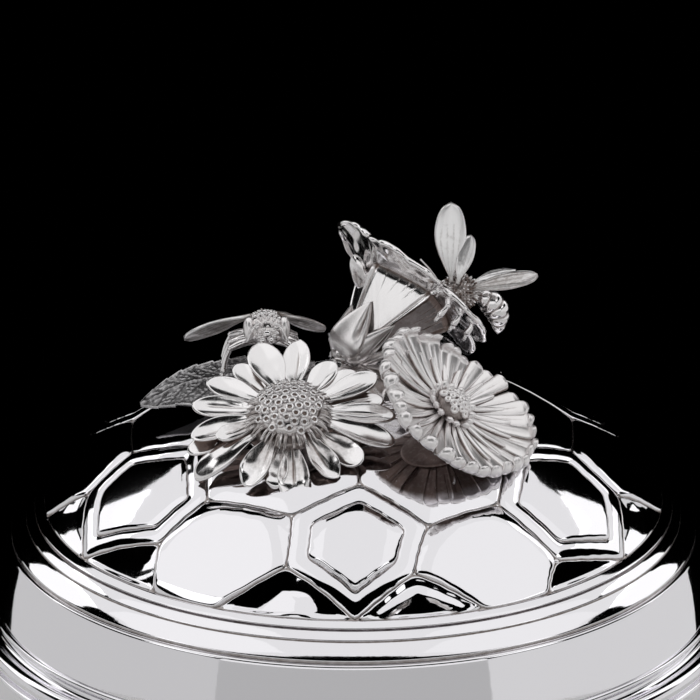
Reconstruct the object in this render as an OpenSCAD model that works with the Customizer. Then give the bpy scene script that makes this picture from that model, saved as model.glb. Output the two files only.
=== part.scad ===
// Lidded sugar bowl in silver: a fluted bowl on a foot ring, and a lift-off domed lid
// with a cast finial of flowers, leaves and two bees.
// Millimetres, +Z up. The origin is the centre of the foot's resting plane, the front is towards -Y.

/* [Bowl] */
// Height of the bowl's seat for the lid above the table
rim_z = 72; // [68:1:80]
// Outer radius of the half-round rim moulding
rim_r = 54.9; // [53:0.1:57]
// Thickness of the bowl's wall
wall_t = 1.2; // [1:0.1:2]
// Outer radius of the foot ring
foot_r = 34; // [32:0.5:36]

/* [Lid] */
// Height of the plain band
band_h = 10; // [9:0.5:12]
// Height of the rounded moulding on top of the band
ovolo_h = 2.7; // [2.2:0.1:3.4]
// Height of the small upright step under the dome
step_h = 1.3; // [1:0.1:2]
// Rise of the dome above the step
dome_h = 18.7; // [17:0.1:20]
// Thickness of the dome
dome_t = 1; // [0.8:0.1:1.4]
// Gap between the lid and the bowl where they rest and slide
lid_gap = 0.1; // [0.05:0.05:0.2]
// Clearance of the lid's bezel in the mouth, on the radius
bezel_gap = 0.4; // [0.3:0.05:0.6]

/* [Flowers] */
// Radius of the daisy
daisy_r = 14.9; // [13.5:0.1:15.5]
// Petals in each whorl of the daisy
daisy_n = 9; // [8:1:11]
// Radius of the aster's rim
aster_r = 13.4; // [12.5:0.1:13.8]
// Petals in the aster's outer whorl
aster_n = 22; // [18:1:26]
// Radius of the bell flower's lobes
bell_r = 13.8; // [13:0.1:14.2]
// Length of the bell flower
bell_l = 12.5; // [11.5:0.1:13]

/* [Bees] */
// Length of a forewing
wing_l = 11.6; // [10:0.1:12.5]
// Thickness of wings and petals
sheet_t = 0.7; // [0.6:0.05:0.9]
// Radius of a bee's thorax
thorax_r = 2.6; // [2.3:0.1:2.8]

/* [Hidden] */
$fn = 64;

silver = [0.86, 0.86, 0.87];
silver_dark = [0.72, 0.71, 0.70];
silver_warm = [0.80, 0.78, 0.75];

// Bowl levels and radii
wall_r = rim_r - 0.9;          // outer radius of the wall under the rim
wall_top = rim_z - 3.5;        // the rim moulding sits on the wall here
bowl_z0 = 8.6;                 // underside of the bowl
neck_r = foot_r - 6.4;         // radius of the flat under the bowl
mouth_r = rim_r - 4.5;         // inner radius of the rim moulding

// Lid levels and radii
lid_z = rim_z + lid_gap;       // underside of the lid's band
band_r = rim_r - 3;            // band at its foot
band_top_r = rim_r - 5.7;      // top of the band, foot of the ovolo
step_r = rim_r - 8.7;          // upright step
dome_r = rim_r - 9.1;          // edge of the dome
z_band = lid_z + band_h;
z_step = z_band + ovolo_h;
z_dome = z_step + step_h;
za = z_dome + dome_h;          // top of the dome
sph_r = (dome_r * dome_r + dome_h * dome_h) / (2 * dome_h);
sph_z = za - sph_r;

// Finial: places and directions
daisy_p = [-9, -17, za + 2.1];
daisy_d = [-0.05, -0.47, 0.88];
aster_p = [13.3, -13, za + 1.1];
aster_d = [0.565, -0.338, 0.75];
bell_p = [-0.2, 4, za + 3.9];
bell_d = [0.699, 0.433, 0.569];
left_bee_p = [-12.6, 2, za + 7.9];
right_bee_p = [15.3, 3.3, za + 12.9];

function unit(v) = v / norm(v);

// Local +Z along n, at p
module along(p, n) translate(p) rotate([0, acos(n[2] / norm(n)), atan2(n[1], n[0])]) children();

// Local +X along u and local +Z as near n as it can be, at p
module facing(p, u, n) {
  x = unit(u);
  z = unit(n - (n * x) * x);
  y = cross(z, x);
  multmatrix([[x[0], y[0], z[0], p[0]], [x[1], y[1], z[1], p[1]], [x[2], y[2], z[2], p[2]], [0, 0, 0, 1]]) children();
}

// Round-ended rod from a to b
module capsule(a, b, r) {
  l = norm(b - a);
  along(a, b - a) rotate_extrude() intersection() {
    union() {
      circle(r);
      translate([0, l]) circle(r);
      translate([-r, 0]) square([2 * r, l]);
    }
    translate([0, -r - 1]) square([r + 1, l + 2 * r + 2]);
  }
}

// Outline of n petals between radii r0 and r1, k sets how blunt the tips are
function petals(n, r0, r1, k, m = 10) = [for (i = [0 : n * m - 1])
  let (a = 360 * i / (n * m), s = sin(180 * (i % m) / m)) (r0 + (r1 - r0) * pow(s, k)) * [cos(a), sin(a)]];

// Outline of a blade of length l and half width w, widest at share f of its length
function blade_w(t, w, f) = w * pow(sin(180 * pow(t, ln(0.5) / ln(f))), 0.8);
function blade(l, w, f, m = 14) = concat(
  [for (i = [0 : m]) [l * i / m, -max(0.25, blade_w(i / m, w, f))]],
  [for (i = [m : -1 : 0]) [l * i / m, max(0.25, blade_w(i / m, w, f))]]);

// Sheet of petals lying on a sphere: bend > 0 droops, bend < 0 cups
module petal_sheet(outline, bend, t) intersection() {
  difference() {
    translate([0, 0, -bend]) sphere(abs(bend) + (bend > 0 ? t : 0), $fn = 128);
    translate([0, 0, -bend]) sphere(abs(bend) - (bend > 0 ? 0 : t), $fn = 128);
  }
  translate([0, 0, -6]) linear_extrude(14) polygon(outline);
}

// Profile of the bowl: from the flat underside out and up to the upright wall
function bowl_pt(u, r0, r1, z0, z1) = [r0 + (r1 - r0) * pow(1 - pow(1 - u, 2.4), 0.62), z0 + (z1 - z0) * u];

module bowl_wall() color(silver) rotate_extrude($fn = 128) polygon(concat(
  [[0, bowl_z0]],
  [for (i = [0 : 14]) bowl_pt(pow(i / 14, 1.6), neck_r, wall_r, bowl_z0, wall_top)],
  [for (i = [14 : -1 : 0]) bowl_pt(pow(i / 14, 1.6), neck_r - 0.6, wall_r - wall_t, bowl_z0 + wall_t, wall_top)],
  [[0, bowl_z0 + wall_t]]));

module bowl_rim_moulding() color(silver) rotate_extrude($fn = 128) intersection() {
  union() {
    polygon([[mouth_r, wall_top], [rim_r - 1.3, wall_top], [rim_r - 1.3, rim_z - 1.1], [rim_r - 2.7, rim_z - 1], [rim_r - 2.7, rim_z], [mouth_r, rim_z]]);
    translate([rim_r - 1.3, rim_z - 2.25]) circle(1.3);
  }
  translate([mouth_r, wall_top]) square([8, 5]);
}

module bowl_rim_wire() color(silver) rotate_extrude($fn = 128) intersection() {
  translate([wall_r + 0.4, wall_top - 0.75]) circle(0.5);
  translate([wall_r, wall_top - 2]) square(3);
}

module foot_collar() color(silver) rotate_extrude($fn = 128) polygon(concat(
  [for (i = [0 : 6]) let (a = 15 * i) [foot_r - 1.5 - 4.6 * sin(a), bowl_z0 - 5.6 * cos(a)]],
  [for (i = [6 : -1 : 0]) let (a = 15 * i) [foot_r - 2.9 - 4.6 * sin(a), bowl_z0 - 5.6 * cos(a)]]));

module foot_ring() color(silver) rotate_extrude($fn = 128) intersection() {
  union() {
    translate([foot_r - 1.5, 1.5]) circle(1.5);
    translate([foot_r - 4, 0]) square([2.5, 3]);
  }
  translate([foot_r - 4, 0]) square([5, 3]);
}

module lid_dome() color(silver) difference() {
  intersection() {
    difference() {
      translate([0, 0, sph_z]) sphere(sph_r, $fn = 160);
      translate([0, 0, sph_z]) sphere(sph_r - dome_t, $fn = 160);
    }
    translate([0, 0, z_dome]) cylinder(h = 40, r = 60);
  }
  translate([0, 0, za - 8]) cylinder(h = 16, r = 1.6);
}

module lid_shoulder_moulding() color(silver) rotate_extrude($fn = 128) polygon(concat(
  [[dome_r - 1, z_dome], [dome_r + 0.1, z_dome], [step_r, z_dome - 0.3]],
  [for (i = [0 : 8]) let (a = 11.25 * i) [step_r + (band_top_r - step_r) * sin(a), z_band + ovolo_h * cos(a)]],
  [[band_top_r - 0.9, z_band], [band_top_r - 1.6, z_band + 0.9], [step_r - 0.6, z_step - 0.8], [dome_r - 1, z_step]]));

module lid_band() color(silver) rotate_extrude($fn = 128) polygon([
  [band_r, lid_z], [band_r - 0.06, lid_z + 0.9], [band_r - 0.45, lid_z + 3.3], [band_r - 1, z_band - 4.1],
  [band_r - 1.7, z_band - 1.5], [band_r - 2.04, z_band - 0.35], [band_top_r + 0.3, z_band], [band_top_r - 0.9, z_band],
  [band_top_r - 0.9, z_band - 0.8], [band_r - 2.85, z_band - 1.5], [band_r - 1.8, lid_z + 5.9], [band_r - 1.15, lid_z + 3.4],
  [band_r - 0.86, lid_z + 2.7], [band_r - 0.84, lid_z + 1.5], [band_r - 0.8, lid_z]]);

module lid_band_wire() color(silver) rotate_extrude($fn = 128) intersection() {
  translate([band_r + 0.18, lid_z + 0.45]) circle(0.45);
  translate([band_r, lid_z]) square(3);
}

// The bezel drops into the mouth; its flange meets the inside of the band
module lid_bezel() color(silver) rotate_extrude($fn = 128) union() {
  translate([mouth_r - bezel_gap - 0.8, lid_z - 7]) square([0.8, 9.6]);
  translate([mouth_r - bezel_gap - 0.8, lid_z + 1.6]) square([band_r - 0.9 - mouth_r + bezel_gap + 0.8, 1]);
}

module finial_boss() color(silver_warm) difference() {
  translate([0, 0, za - 2]) rotate_extrude() polygon(concat([[0, 0]],
    [for (i = [0 : 8]) let (a = 11.25 * i) [1 + 8 * cos(a), 4.2 * sin(a)]], [[0, 4.2]]));
  translate([0, 0, sph_z]) sphere(sph_r, $fn = 160);
  translate([0, 0, za - 3]) cylinder(h = 3.6, r = 1.5);
}

module finial_stud() color(silver) translate([0, 0, za - 7]) cylinder(h = 7.6, r = 1.5);

module finial_washer() color(silver) difference() {
  translate([0, 0, za - dome_t - 0.75]) cylinder(h = 0.6, r = 4);
  translate([0, 0, za - 8]) cylinder(h = 9, r = 1.6);
}

module finial_nut() color(silver) difference() {
  translate([0, 0, za - dome_t - 3.25]) cylinder(h = 2.5, r = 3.2, $fn = 6);
  translate([0, 0, za - 9]) cylinder(h = 9, r = 1.5);
}

module daisy_outer_petals() color(silver) along(daisy_p, daisy_d)
  translate([0, 0, -sheet_t - 0.05]) petal_sheet(petals(daisy_n, 4.6, daisy_r, 0.45), 65, sheet_t);

module daisy_inner_petals() color(silver) along(daisy_p, daisy_d)
  rotate(180 / daisy_n) petal_sheet(petals(daisy_n, 4.6, daisy_r - 0.6, 0.45), 65, sheet_t);

module daisy_button() color(silver_warm) along(daisy_p, daisy_d) difference() {
  rotate_extrude() polygon(concat([[0, 0]], [for (i = [0 : 6]) let (a = 15 * i) [5 * cos(a), 1 + 2.4 * sin(a)]]));
  translate([0, 0, -65]) sphere(65 + sheet_t, $fn = 128);
}

module daisy_stem() color(silver_warm) capsule(daisy_p - 1.7 * unit(daisy_d), [-4.2, -5.2, za + 1.2], 1.3);

module aster_outer_petals() color(silver) along(aster_p, aster_d)
  petal_sheet(petals(aster_n, 5.5, aster_r, 0.3, 6), -36, sheet_t);

module aster_inner_petals() color(silver) along(aster_p, aster_d)
  translate([0, 0, sheet_t + 0.05]) petal_sheet(petals(aster_n - 6, 3.6, aster_r - 4, 0.3, 6), -36, sheet_t);

module aster_button() color(silver_warm) along(aster_p, aster_d) translate([0, 0, sheet_t + 0.05]) intersection() {
  rotate_extrude() polygon(concat([[0, 0]], [for (i = [0 : 6]) let (a = 15 * i) [2.9 * cos(a), 1.3 + 1.5 * sin(a)]]));
  translate([0, 0, 36]) sphere(35.98 - sheet_t, $fn = 128);
}

module aster_stem() color(silver_warm) capsule(aster_p - 1 * unit(aster_d), [5.6, -4.6, za + 1], 1.2);

// Bell: a thin funnel with a flared lip, notched into five lobes
module bell_flower() color(silver_warm) along(bell_p, bell_d) difference() {
  rotate_extrude() polygon([[0, 0], [2, 0], [2.6, 1.2], [4.5, 0.4 * bell_l], [6.6, 0.72 * bell_l], [8, 0.88 * bell_l], [10.6, 0.97 * bell_l],
    [bell_r, bell_l], [bell_r, bell_l + sheet_t], [10.4, 0.97 * bell_l + sheet_t], [7.5, 0.88 * bell_l + 0.7], [5.9, 0.72 * bell_l + 0.3],
    [3.7, 0.4 * bell_l + 0.4], [1.8, 2], [0, 1.4]]);
  for (i = [0 : 4]) rotate(72 * i + 36) translate([bell_r + 2.4, 0, 8]) cylinder(h = 10, r = 4);
}

module bell_calyx() color(silver_warm) along(bell_p, bell_d) difference() {
  union() {
    translate([0, 0, -1.2]) sphere(2.3);
    for (i = [0 : 4]) rotate(72 * i + 41) facing([1.4, 0, -0.6], [0.5, 0, 0.86], [0.86, 0, -0.5]) linear_extrude(sheet_t) polygon(blade(7, 2.2, 0.4));
  }
  rotate_extrude() polygon([[0, 0], [2, 0], [2.6, 1.2], [4.5, 0.4 * bell_l], [6.6, 0.72 * bell_l], [0, 0.72 * bell_l]]);
}

module bell_pistil() color(silver_warm) along(bell_p, bell_d) union() {
  translate([0, 0, 1.4]) cylinder(h = 9.6, r = 0.5);
  translate([0, 0, 11]) sphere(1.1);
}

module bell_stem() color(silver_warm) capsule(bell_p - 2.2 * unit(bell_d), [-2.2, 1.6, za + 1.4], 1.4);

// Leaf: a thin sheet bent over a cylinder, cut to a blade
module leaf(root, tip, up, w, f, bend) facing(root, tip - root, up) intersection() {
  linear_extrude(30, center = true) polygon(blade(norm(tip - root), w, f));
  translate([0.5 * norm(tip - root), 0, -bend]) rotate([90, 0, 0]) difference() {
    cylinder(h = 60, r = bend + sheet_t, center = true, $fn = 128);
    cylinder(h = 61, r = bend, center = true, $fn = 128);
  }
}

module left_leaf() color(silver_warm) leaf([-5.6, 3.4, za + 2.1], [-30.7, -0.5, za - 1.9], [-0.1, -0.25, 1], 6.6, 0.55, 60);

module back_leaf() color(silver_warm) leaf([0.6, 6.2, za + 1.9], [5, 29.5, za - 2.8], [0, 0.1, 1], 6.4, 0.5, 55);

// Bee: head, thorax and abdomen along +X from the front, belly down
module bee_body() union() {
  translate([3.5, 0, -0.3]) sphere(1.75);
  sphere(thorax_r);
  translate([-5.4, 0, -0.4]) rotate([0, 90, 0]) rotate_extrude() polygon(concat(
    [for (i = [0 : 10]) let (a = 18 * i) [max(0, 2.5 * sin(a)), -4 * cos(a)]]));
}

module wing(p, u, n, l, w) facing(p, u, n) linear_extrude(sheet_t) polygon(blade(l, w, 0.64));

module leg(a, knee, b) union() {
  capsule(a, knee, 0.5);
  capsule(knee, b, 0.42);
}

lb_u = [0.05, -0.93, 0.28];
lb_n = [0, 0.2, 1];
module left_bee_body() color(silver_warm) facing(left_bee_p, lb_u, lb_n) bee_body();

module left_bee_wings() color(silver) union() {
  wing(left_bee_p + [-2, 0.4, 1.2], [-10.3, 1, -3.9], [-0.25, 0.1, 1], wing_l - 1.2, 2.2);
  wing(left_bee_p + [-1.6, 1.9, 0.9], [-6.5, 5.5, -2], [-0.3, 0.1, 1], 0.66 * wing_l, 1.7);
  wing(left_bee_p + [2, 0.6, 1.2], [6, 4, -4.2], [0.4, 0.1, 1], wing_l - 2.4, 2.2);
  wing(left_bee_p + [1.3, 2, 1.2], [3.4, 6.3, -2], [0.3, 0.1, 1], 0.66 * wing_l, 1.7);
}

module left_bee_legs() color(silver_warm) for (s = [-1, 1], k = [0 : 2])
  leg(left_bee_p + [s * 1.2, -1.3 + 1.3 * k, -1.7],
      left_bee_p + [s * 4.2 + (s < 0 ? -0.8 : 0), -2.2 + 2.6 * k, -2.4],
      left_bee_p + [s * 5 + (s < 0 ? -1.4 : 0), -2.6 + 2.7 * k, s < 0 ? -7.4 : -6.6]);

rb_u = [-0.72, -0.28, 0.63];
rb_n = [0.6, 0.15, 0.75];
module right_bee_body() color(silver_warm) facing(right_bee_p, rb_u, rb_n) bee_body();

module right_bee_wings() color(silver) union() {
  wing(right_bee_p + [-1.2, -1, 2], [0.02, 0.12, 1], [0.15, -1, 0.2], wing_l, 2.4);
  wing(right_bee_p + [-0.1, -0.6, 2.4], [0.3, 0.25, 0.93], [0.2, -1, 0.2], 0.62 * wing_l, 1.4);
  wing(right_bee_p + [2.2, -0.6, 0.9], [0.98, 0, 0.19], [-0.2, -0.45, 0.87], wing_l - 2.4, 1.7);
  wing(right_bee_p + [1.9, 0.9, 0.6], [0.85, 0.45, 0.1], [-0.1, -0.4, 0.87], 0.62 * wing_l, 1.4);
}

module right_bee_legs() color(silver_warm) facing(right_bee_p, rb_u, rb_n) for (s = [-1, 1], k = [0 : 2])
  leg([1.3 - 1.3 * k, s * 1.2, -1.7], [2 - 2.4 * k, s * 3.2, -2.2], [2.2 - 2.8 * k, s * 3.4, -4.8]);

bowl_wall();
bowl_rim_moulding();
bowl_rim_wire();
foot_collar();
foot_ring();
lid_dome();
lid_shoulder_moulding();
lid_band();
lid_band_wire();
lid_bezel();
finial_boss();
finial_stud();
finial_washer();
finial_nut();
daisy_outer_petals();
daisy_inner_petals();
daisy_button();
daisy_stem();
aster_outer_petals();
aster_inner_petals();
aster_button();
aster_stem();
bell_flower();
bell_calyx();
bell_pistil();
bell_stem();
left_leaf();
back_leaf();
left_bee_body();
left_bee_wings();
left_bee_legs();
right_bee_body();
right_bee_wings();
right_bee_legs();
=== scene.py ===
import math

import bmesh
import bpy
import numpy as np
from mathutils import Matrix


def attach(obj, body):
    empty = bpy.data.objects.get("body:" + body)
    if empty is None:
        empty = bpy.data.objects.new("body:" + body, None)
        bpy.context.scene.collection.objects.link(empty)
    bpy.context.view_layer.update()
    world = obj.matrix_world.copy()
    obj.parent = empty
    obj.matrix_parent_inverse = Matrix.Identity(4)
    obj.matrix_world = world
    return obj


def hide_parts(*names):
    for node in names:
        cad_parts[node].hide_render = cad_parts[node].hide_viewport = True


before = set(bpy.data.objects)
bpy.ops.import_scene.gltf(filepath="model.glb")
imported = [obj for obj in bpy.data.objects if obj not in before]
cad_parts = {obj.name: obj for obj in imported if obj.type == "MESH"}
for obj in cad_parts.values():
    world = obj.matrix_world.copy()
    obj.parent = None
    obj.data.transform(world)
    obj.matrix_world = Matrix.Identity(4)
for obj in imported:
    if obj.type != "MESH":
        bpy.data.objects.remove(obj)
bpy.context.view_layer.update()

rng = np.random.RandomState(11)
pi = math.pi

# ---------------------------------------------------------------- sizes, mm
RIM_R, RIM_Z = 54.9, 72.0
LID_Z, Z_BAND, Z_STEP, Z1, ZA = 72.1, 82.1, 84.8, 86.1, 104.8
SR, SZ = 65.44, 39.36            # the dome's sphere
S_EDGE, S_BORDER = 50.72, 49.25  # arc lengths from the top of the dome

# ---------------------------------------------------------------- small maths


def unit(v):
    v = np.asarray(v, float)
    return v / np.linalg.norm(v)


def step(a, b, x):
    t = np.clip((np.asarray(x, float) - a) / (b - a), 0, 1)
    return t * t * (3 - 2 * t)


def along(n):
    """Local axes of a piece whose +Z lies along n."""
    n = unit(n)
    th, ph = math.acos(n[2]), math.atan2(n[1], n[0])
    e1 = np.array([math.cos(ph) * math.cos(th), math.sin(ph) * math.cos(th), -math.sin(th)])
    e2 = np.array([-math.sin(ph), math.cos(ph), 0.0])
    return e1, e2, n


def facing(u, n):
    """Local axes with +X along u and +Z as near n as it can be."""
    x = unit(u)
    z = unit(np.asarray(n, float) - np.dot(n, x) * x)
    return x, np.cross(z, x), z


def wobble(seed, k=6, f0=1.0, f1=6.0):
    """A smooth seeded random function of three coordinates, about -1 to 1."""
    r = np.random.RandomState(seed)
    d = r.normal(size=(k, 3))
    d *= (r.uniform(f0, f1, k) / np.linalg.norm(d, axis=1))[:, None]
    ph = r.uniform(0, 2 * pi, k)

    def f(p):
        p = np.asarray(p, float)
        return np.sin(p @ d.T + ph).sum(-1) / math.sqrt(k) * 0.9

    return f


def curve(points, n):
    """Smooth curve through points, n samples evenly along it."""
    p = np.asarray(points, float)
    q = np.concatenate([[2 * p[0] - p[1]], p, [2 * p[-1] - p[-2]]])
    out = []
    for i in range(1, len(q) - 2):
        t = np.linspace(0, 1, 24, endpoint=False)[:, None]
        a, b, c, d = q[i - 1], q[i], q[i + 1], q[i + 2]
        out.append(0.5 * (2 * b + (c - a) * t + (2 * a - 5 * b + 4 * c - d) * t**2 + (3 * b - a - 3 * c + d) * t**3))
    out = np.concatenate(out + [p[-1:]])
    s = np.concatenate([[0], np.cumsum(np.linalg.norm(np.diff(out, axis=0), axis=1))])
    w = np.linspace(0, s[-1], n)
    return np.stack([np.interp(w, s, out[:, k]) for k in range(p.shape[1])], -1)


# ---------------------------------------------------------------- mesh making


def quads(nu, nv, wu=False, wv=False, flip=False):
    a, b = np.meshgrid(np.arange(nu if wu else nu - 1), np.arange(nv if wv else nv - 1), indexing="ij")
    a2, b2 = (a + 1) % nu, (b + 1) % nv
    q = np.stack([a * nv + b, a2 * nv + b, a2 * nv + b2, a * nv + b2], -1).reshape(-1, 4)
    return q[:, ::-1] if flip else q


class Shape:
    """Vertices in mm, faces, and how dark each vertex is painted (0 to 1): oxide in recesses, and on some parts painted
    shade.
    """

    def __init__(self):
        self.v, self.f, self.c, self.n = [], [], [], 0

    def add(self, v, faces, oxide_and_shade=0.0):
        v = np.asarray(v, float).reshape(-1, 3)
        c = np.full(len(v), float(oxide_and_shade)) if np.ndim(oxide_and_shade) == 0 else np.asarray(oxide_and_shade, float).reshape(-1)
        self.v.append(v)
        self.c.append(c)
        for f in faces:
            f = np.asarray(f, int)
            if len(f):
                self.f.append(f + self.n)
        self.n += len(v)
        return self

    def sheet(self, top, bottom, oxide_and_shade=0.0, cav2=0.25):
        """Closed sheet between two grids of points."""
        nu, nv = top.shape[:2]
        n = nu * nv
        idx = np.arange(n).reshape(nu, nv)
        loop = np.concatenate([idx[0, :-1], idx[:-1, -1], idx[-1, :0:-1], idx[:0:-1, 0]])
        nxt = np.roll(loop, -1)
        c = np.concatenate([np.broadcast_to(oxide_and_shade, (nu, nv)).reshape(-1), np.broadcast_to(cav2, (nu, nv)).reshape(-1)])
        return self.add(np.concatenate([top.reshape(-1, 3), bottom.reshape(-1, 3)]),
                        [quads(nu, nv), quads(nu, nv, flip=True) + n, np.stack([loop, loop + n, nxt + n, nxt], -1)], c)

    def rings(self, grid, oxide_and_shade=0.0, ends=True):
        """Tube through rings of points (k, n, 3), closed at both ends by a point."""
        k, n = grid.shape[:2]
        c = np.broadcast_to(oxide_and_shade, (k, n)).reshape(-1) if np.ndim(oxide_and_shade) else np.full(k * n, float(oxide_and_shade))
        v, f = grid.reshape(-1, 3), [quads(k, n, wv=True)]
        if ends:
            v = np.concatenate([v, grid[0].mean(0)[None], grid[-1].mean(0)[None]])
            c = np.concatenate([c, [c[0], c[-1]]])
            i = np.arange(n)
            j = (i + 1) % n
            f += [np.stack([i, j, np.full(n, k * n)], -1), np.stack([j + (k - 1) * n, i + (k - 1) * n, np.full(n, k * n + 1)], -1)]
        return self.add(v, f, c)

    def tube(self, path, rad, n=10, oxide_and_shade=0.0, flat=1.0, up=None, round_ends=True):
        p = np.asarray(path, float)
        r = np.broadcast_to(np.asarray(rad, float), (len(p),)).astype(float)
        t = np.gradient(p, axis=0)
        t /= np.linalg.norm(t, axis=1)[:, None]
        ref = np.asarray(up, float) if up is not None else np.eye(3)[np.argmin(np.abs(t[0]))]
        fr = []
        for i in range(len(p)):
            a = ref - np.dot(ref, t[i]) * t[i]
            a /= np.linalg.norm(a)
            fr.append((a, np.cross(t[i], a)))
            ref = a
        an = np.linspace(0, 2 * pi, n, endpoint=False)
        g = []

        def ring(c, i, rr):
            a, b = fr[i]
            return c + rr * (flat * np.cos(an)[:, None] * a + np.sin(an)[:, None] * b)

        if round_ends:
            for w in (80, 55, 28):
                g.append(ring(p[0] - t[0] * r[0] * math.sin(math.radians(w)), 0, r[0] * math.cos(math.radians(w))))
        for i in range(len(p)):
            g.append(ring(p[i], i, r[i]))
        if round_ends:
            for w in (28, 55, 80):
                g.append(ring(p[-1] + t[-1] * r[-1] * math.sin(math.radians(w)), -1, r[-1] * math.cos(math.radians(w))))
        return self.rings(np.array(g), oxide_and_shade)

    def loop_tube(self, path, rad, n=8, oxide_and_shade=0.0):
        """Closed tube along a closed path."""
        p = np.asarray(path, float)
        r = np.broadcast_to(np.asarray(rad, float), (len(p),))
        t = np.roll(p, -1, 0) - np.roll(p, 1, 0)
        t /= np.linalg.norm(t, axis=1)[:, None]
        out = p - p.mean(0)
        out -= (out * t).sum(1)[:, None] * t
        out /= np.linalg.norm(out, axis=1)[:, None]
        b = np.cross(t, out)
        an = np.linspace(0, 2 * pi, n, endpoint=False)
        g = p[:, None] + r[:, None, None] * (np.cos(an)[None, :, None] * out[:, None] + np.sin(an)[None, :, None] * b[:, None])
        c = np.broadcast_to(np.asarray(oxide_and_shade, float).reshape(-1, 1) if np.ndim(oxide_and_shade) else oxide_and_shade, g.shape[:2]).reshape(-1)
        return self.add(g, [quads(len(p), n, True, True)], c)

    def ball(self, c, ax, rad, nu=16, nv=10, oxide_and_shade=0.0, shape=None):
        """Ellipsoid at c with axes ax (rows) and radii rad."""
        ax = np.asarray(ax, float)
        la = np.linspace(0, pi, nv + 2)[1:-1]
        lo = np.linspace(0, 2 * pi, nu, endpoint=False)
        d = np.stack([np.sin(la)[:, None] * np.cos(lo), np.sin(la)[:, None] * np.sin(lo), np.broadcast_to(np.cos(la)[:, None], (nv, nu))], -1)
        d = np.concatenate([d.reshape(-1, 3), [[0, 0, 1], [0, 0, -1]]])
        q = d * np.asarray(rad, float)
        if shape is not None:
            q = q * (1 + shape(d))[:, None]
        v = np.asarray(c, float) + q @ ax
        i = np.arange(nu)
        j = (i + 1) % nu
        n = nu * nv
        return self.add(v, [quads(nv, nu, wv=True), np.stack([j, i, np.full(nu, n)], -1),
                            np.stack([i + n - nu, j + n - nu, np.full(nu, n + 1)], -1)], oxide_and_shade)

    def beads(self, cs, ax, rad, nu=10, nv=6, oxide_and_shade=0.0):
        for c, r in zip(cs, np.broadcast_to(rad, (len(cs),))):
            self.ball(c, ax, (r, r, r), nu, nv, oxide_and_shade)
        return self

    def revolve(self, prof, seg=192, oxide_and_shade=0.0, radial=None):
        """Ring from a closed outline of (r, z); radial(a, r, z) may change r."""
        p = np.asarray(prof, float)
        a = np.linspace(0, 2 * pi, seg, endpoint=False)[:, None]
        r = np.broadcast_to(p[None, :, 0], (seg, len(p)))
        z = np.broadcast_to(p[None, :, 1], (seg, len(p)))
        if radial is not None:
            r = radial(a, r, z)
        c = np.broadcast_to(np.asarray(oxide_and_shade, float).reshape(1, -1) if np.ndim(oxide_and_shade) else oxide_and_shade, r.shape)
        return self.add(np.stack([r * np.cos(a), r * np.sin(a), z], -1), [quads(seg, len(p), True, True)], c.reshape(-1))

    def make(self, name, mat, body, node=None, slot=None, sharp=None, weld=False, flat=False):
        me = bpy.data.meshes.new(name)
        faces = []
        for f in self.f:
            faces += f.tolist()
        me.from_pydata((np.concatenate(self.v) * 0.001).tolist(), [], faces)
        # the vertex mark goes to the material as an attribute: oxide in recesses, and on some parts painted shade
        at = me.attributes.new("oxide_and_shade", "FLOAT", "POINT")
        at.data.foreach_set("value", np.clip(np.concatenate(self.c), 0, 1).astype(np.float32))
        bm = bmesh.new()
        bm.from_mesh(me)
        if weld:
            bmesh.ops.remove_doubles(bm, verts=bm.verts, dist=2e-6)
        bmesh.ops.recalc_face_normals(bm, faces=bm.faces)
        bm.to_mesh(me)
        bm.free()
        me.polygons.foreach_set("use_smooth", [not flat] * len(me.polygons))
        if sharp:
            me.set_sharp_from_angle(angle=math.radians(sharp))
        me.update()
        ob = bpy.data.objects.new(name, me)
        bpy.context.scene.collection.objects.link(ob)
        me.materials.append(mat)
        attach(ob, body)
        if node:
            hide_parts(*([node] if isinstance(node, str) else node))
        return ob


def fillet(poly, rad, n=4):
    """Rounds the corners of a closed outline."""
    p = np.asarray(poly, float)
    r = np.broadcast_to(np.asarray(rad, float), (len(p),))
    out = []
    for i in range(len(p)):
        a, b, c = p[i - 1], p[i], p[(i + 1) % len(p)]
        if r[i] <= 0:
            out.append(b)
            continue
        u, w = a - b, c - b
        k = min(r[i], 0.48 * np.linalg.norm(u), 0.48 * np.linalg.norm(w))
        u, w = unit(u) * k, unit(w) * k
        for t in np.linspace(0, 1, n):
            out.append((1 - t) ** 2 * (b + u) + 2 * t * (1 - t) * b + t * t * (b + w))
    return np.array(out)


def refine(poly, d):
    """Adds points to a closed outline so that none lie further apart than d."""
    p = np.asarray(poly, float)
    out = []
    for i in range(len(p)):
        a, b = p[i], p[(i + 1) % len(p)]
        k = max(1, int(math.ceil(np.linalg.norm(b - a) / d)))
        out += [a + (b - a) * t for t in np.linspace(0, 1, k, endpoint=False)]
    return np.array(out)


# ---------------------------------------------------------------- materials


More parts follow.
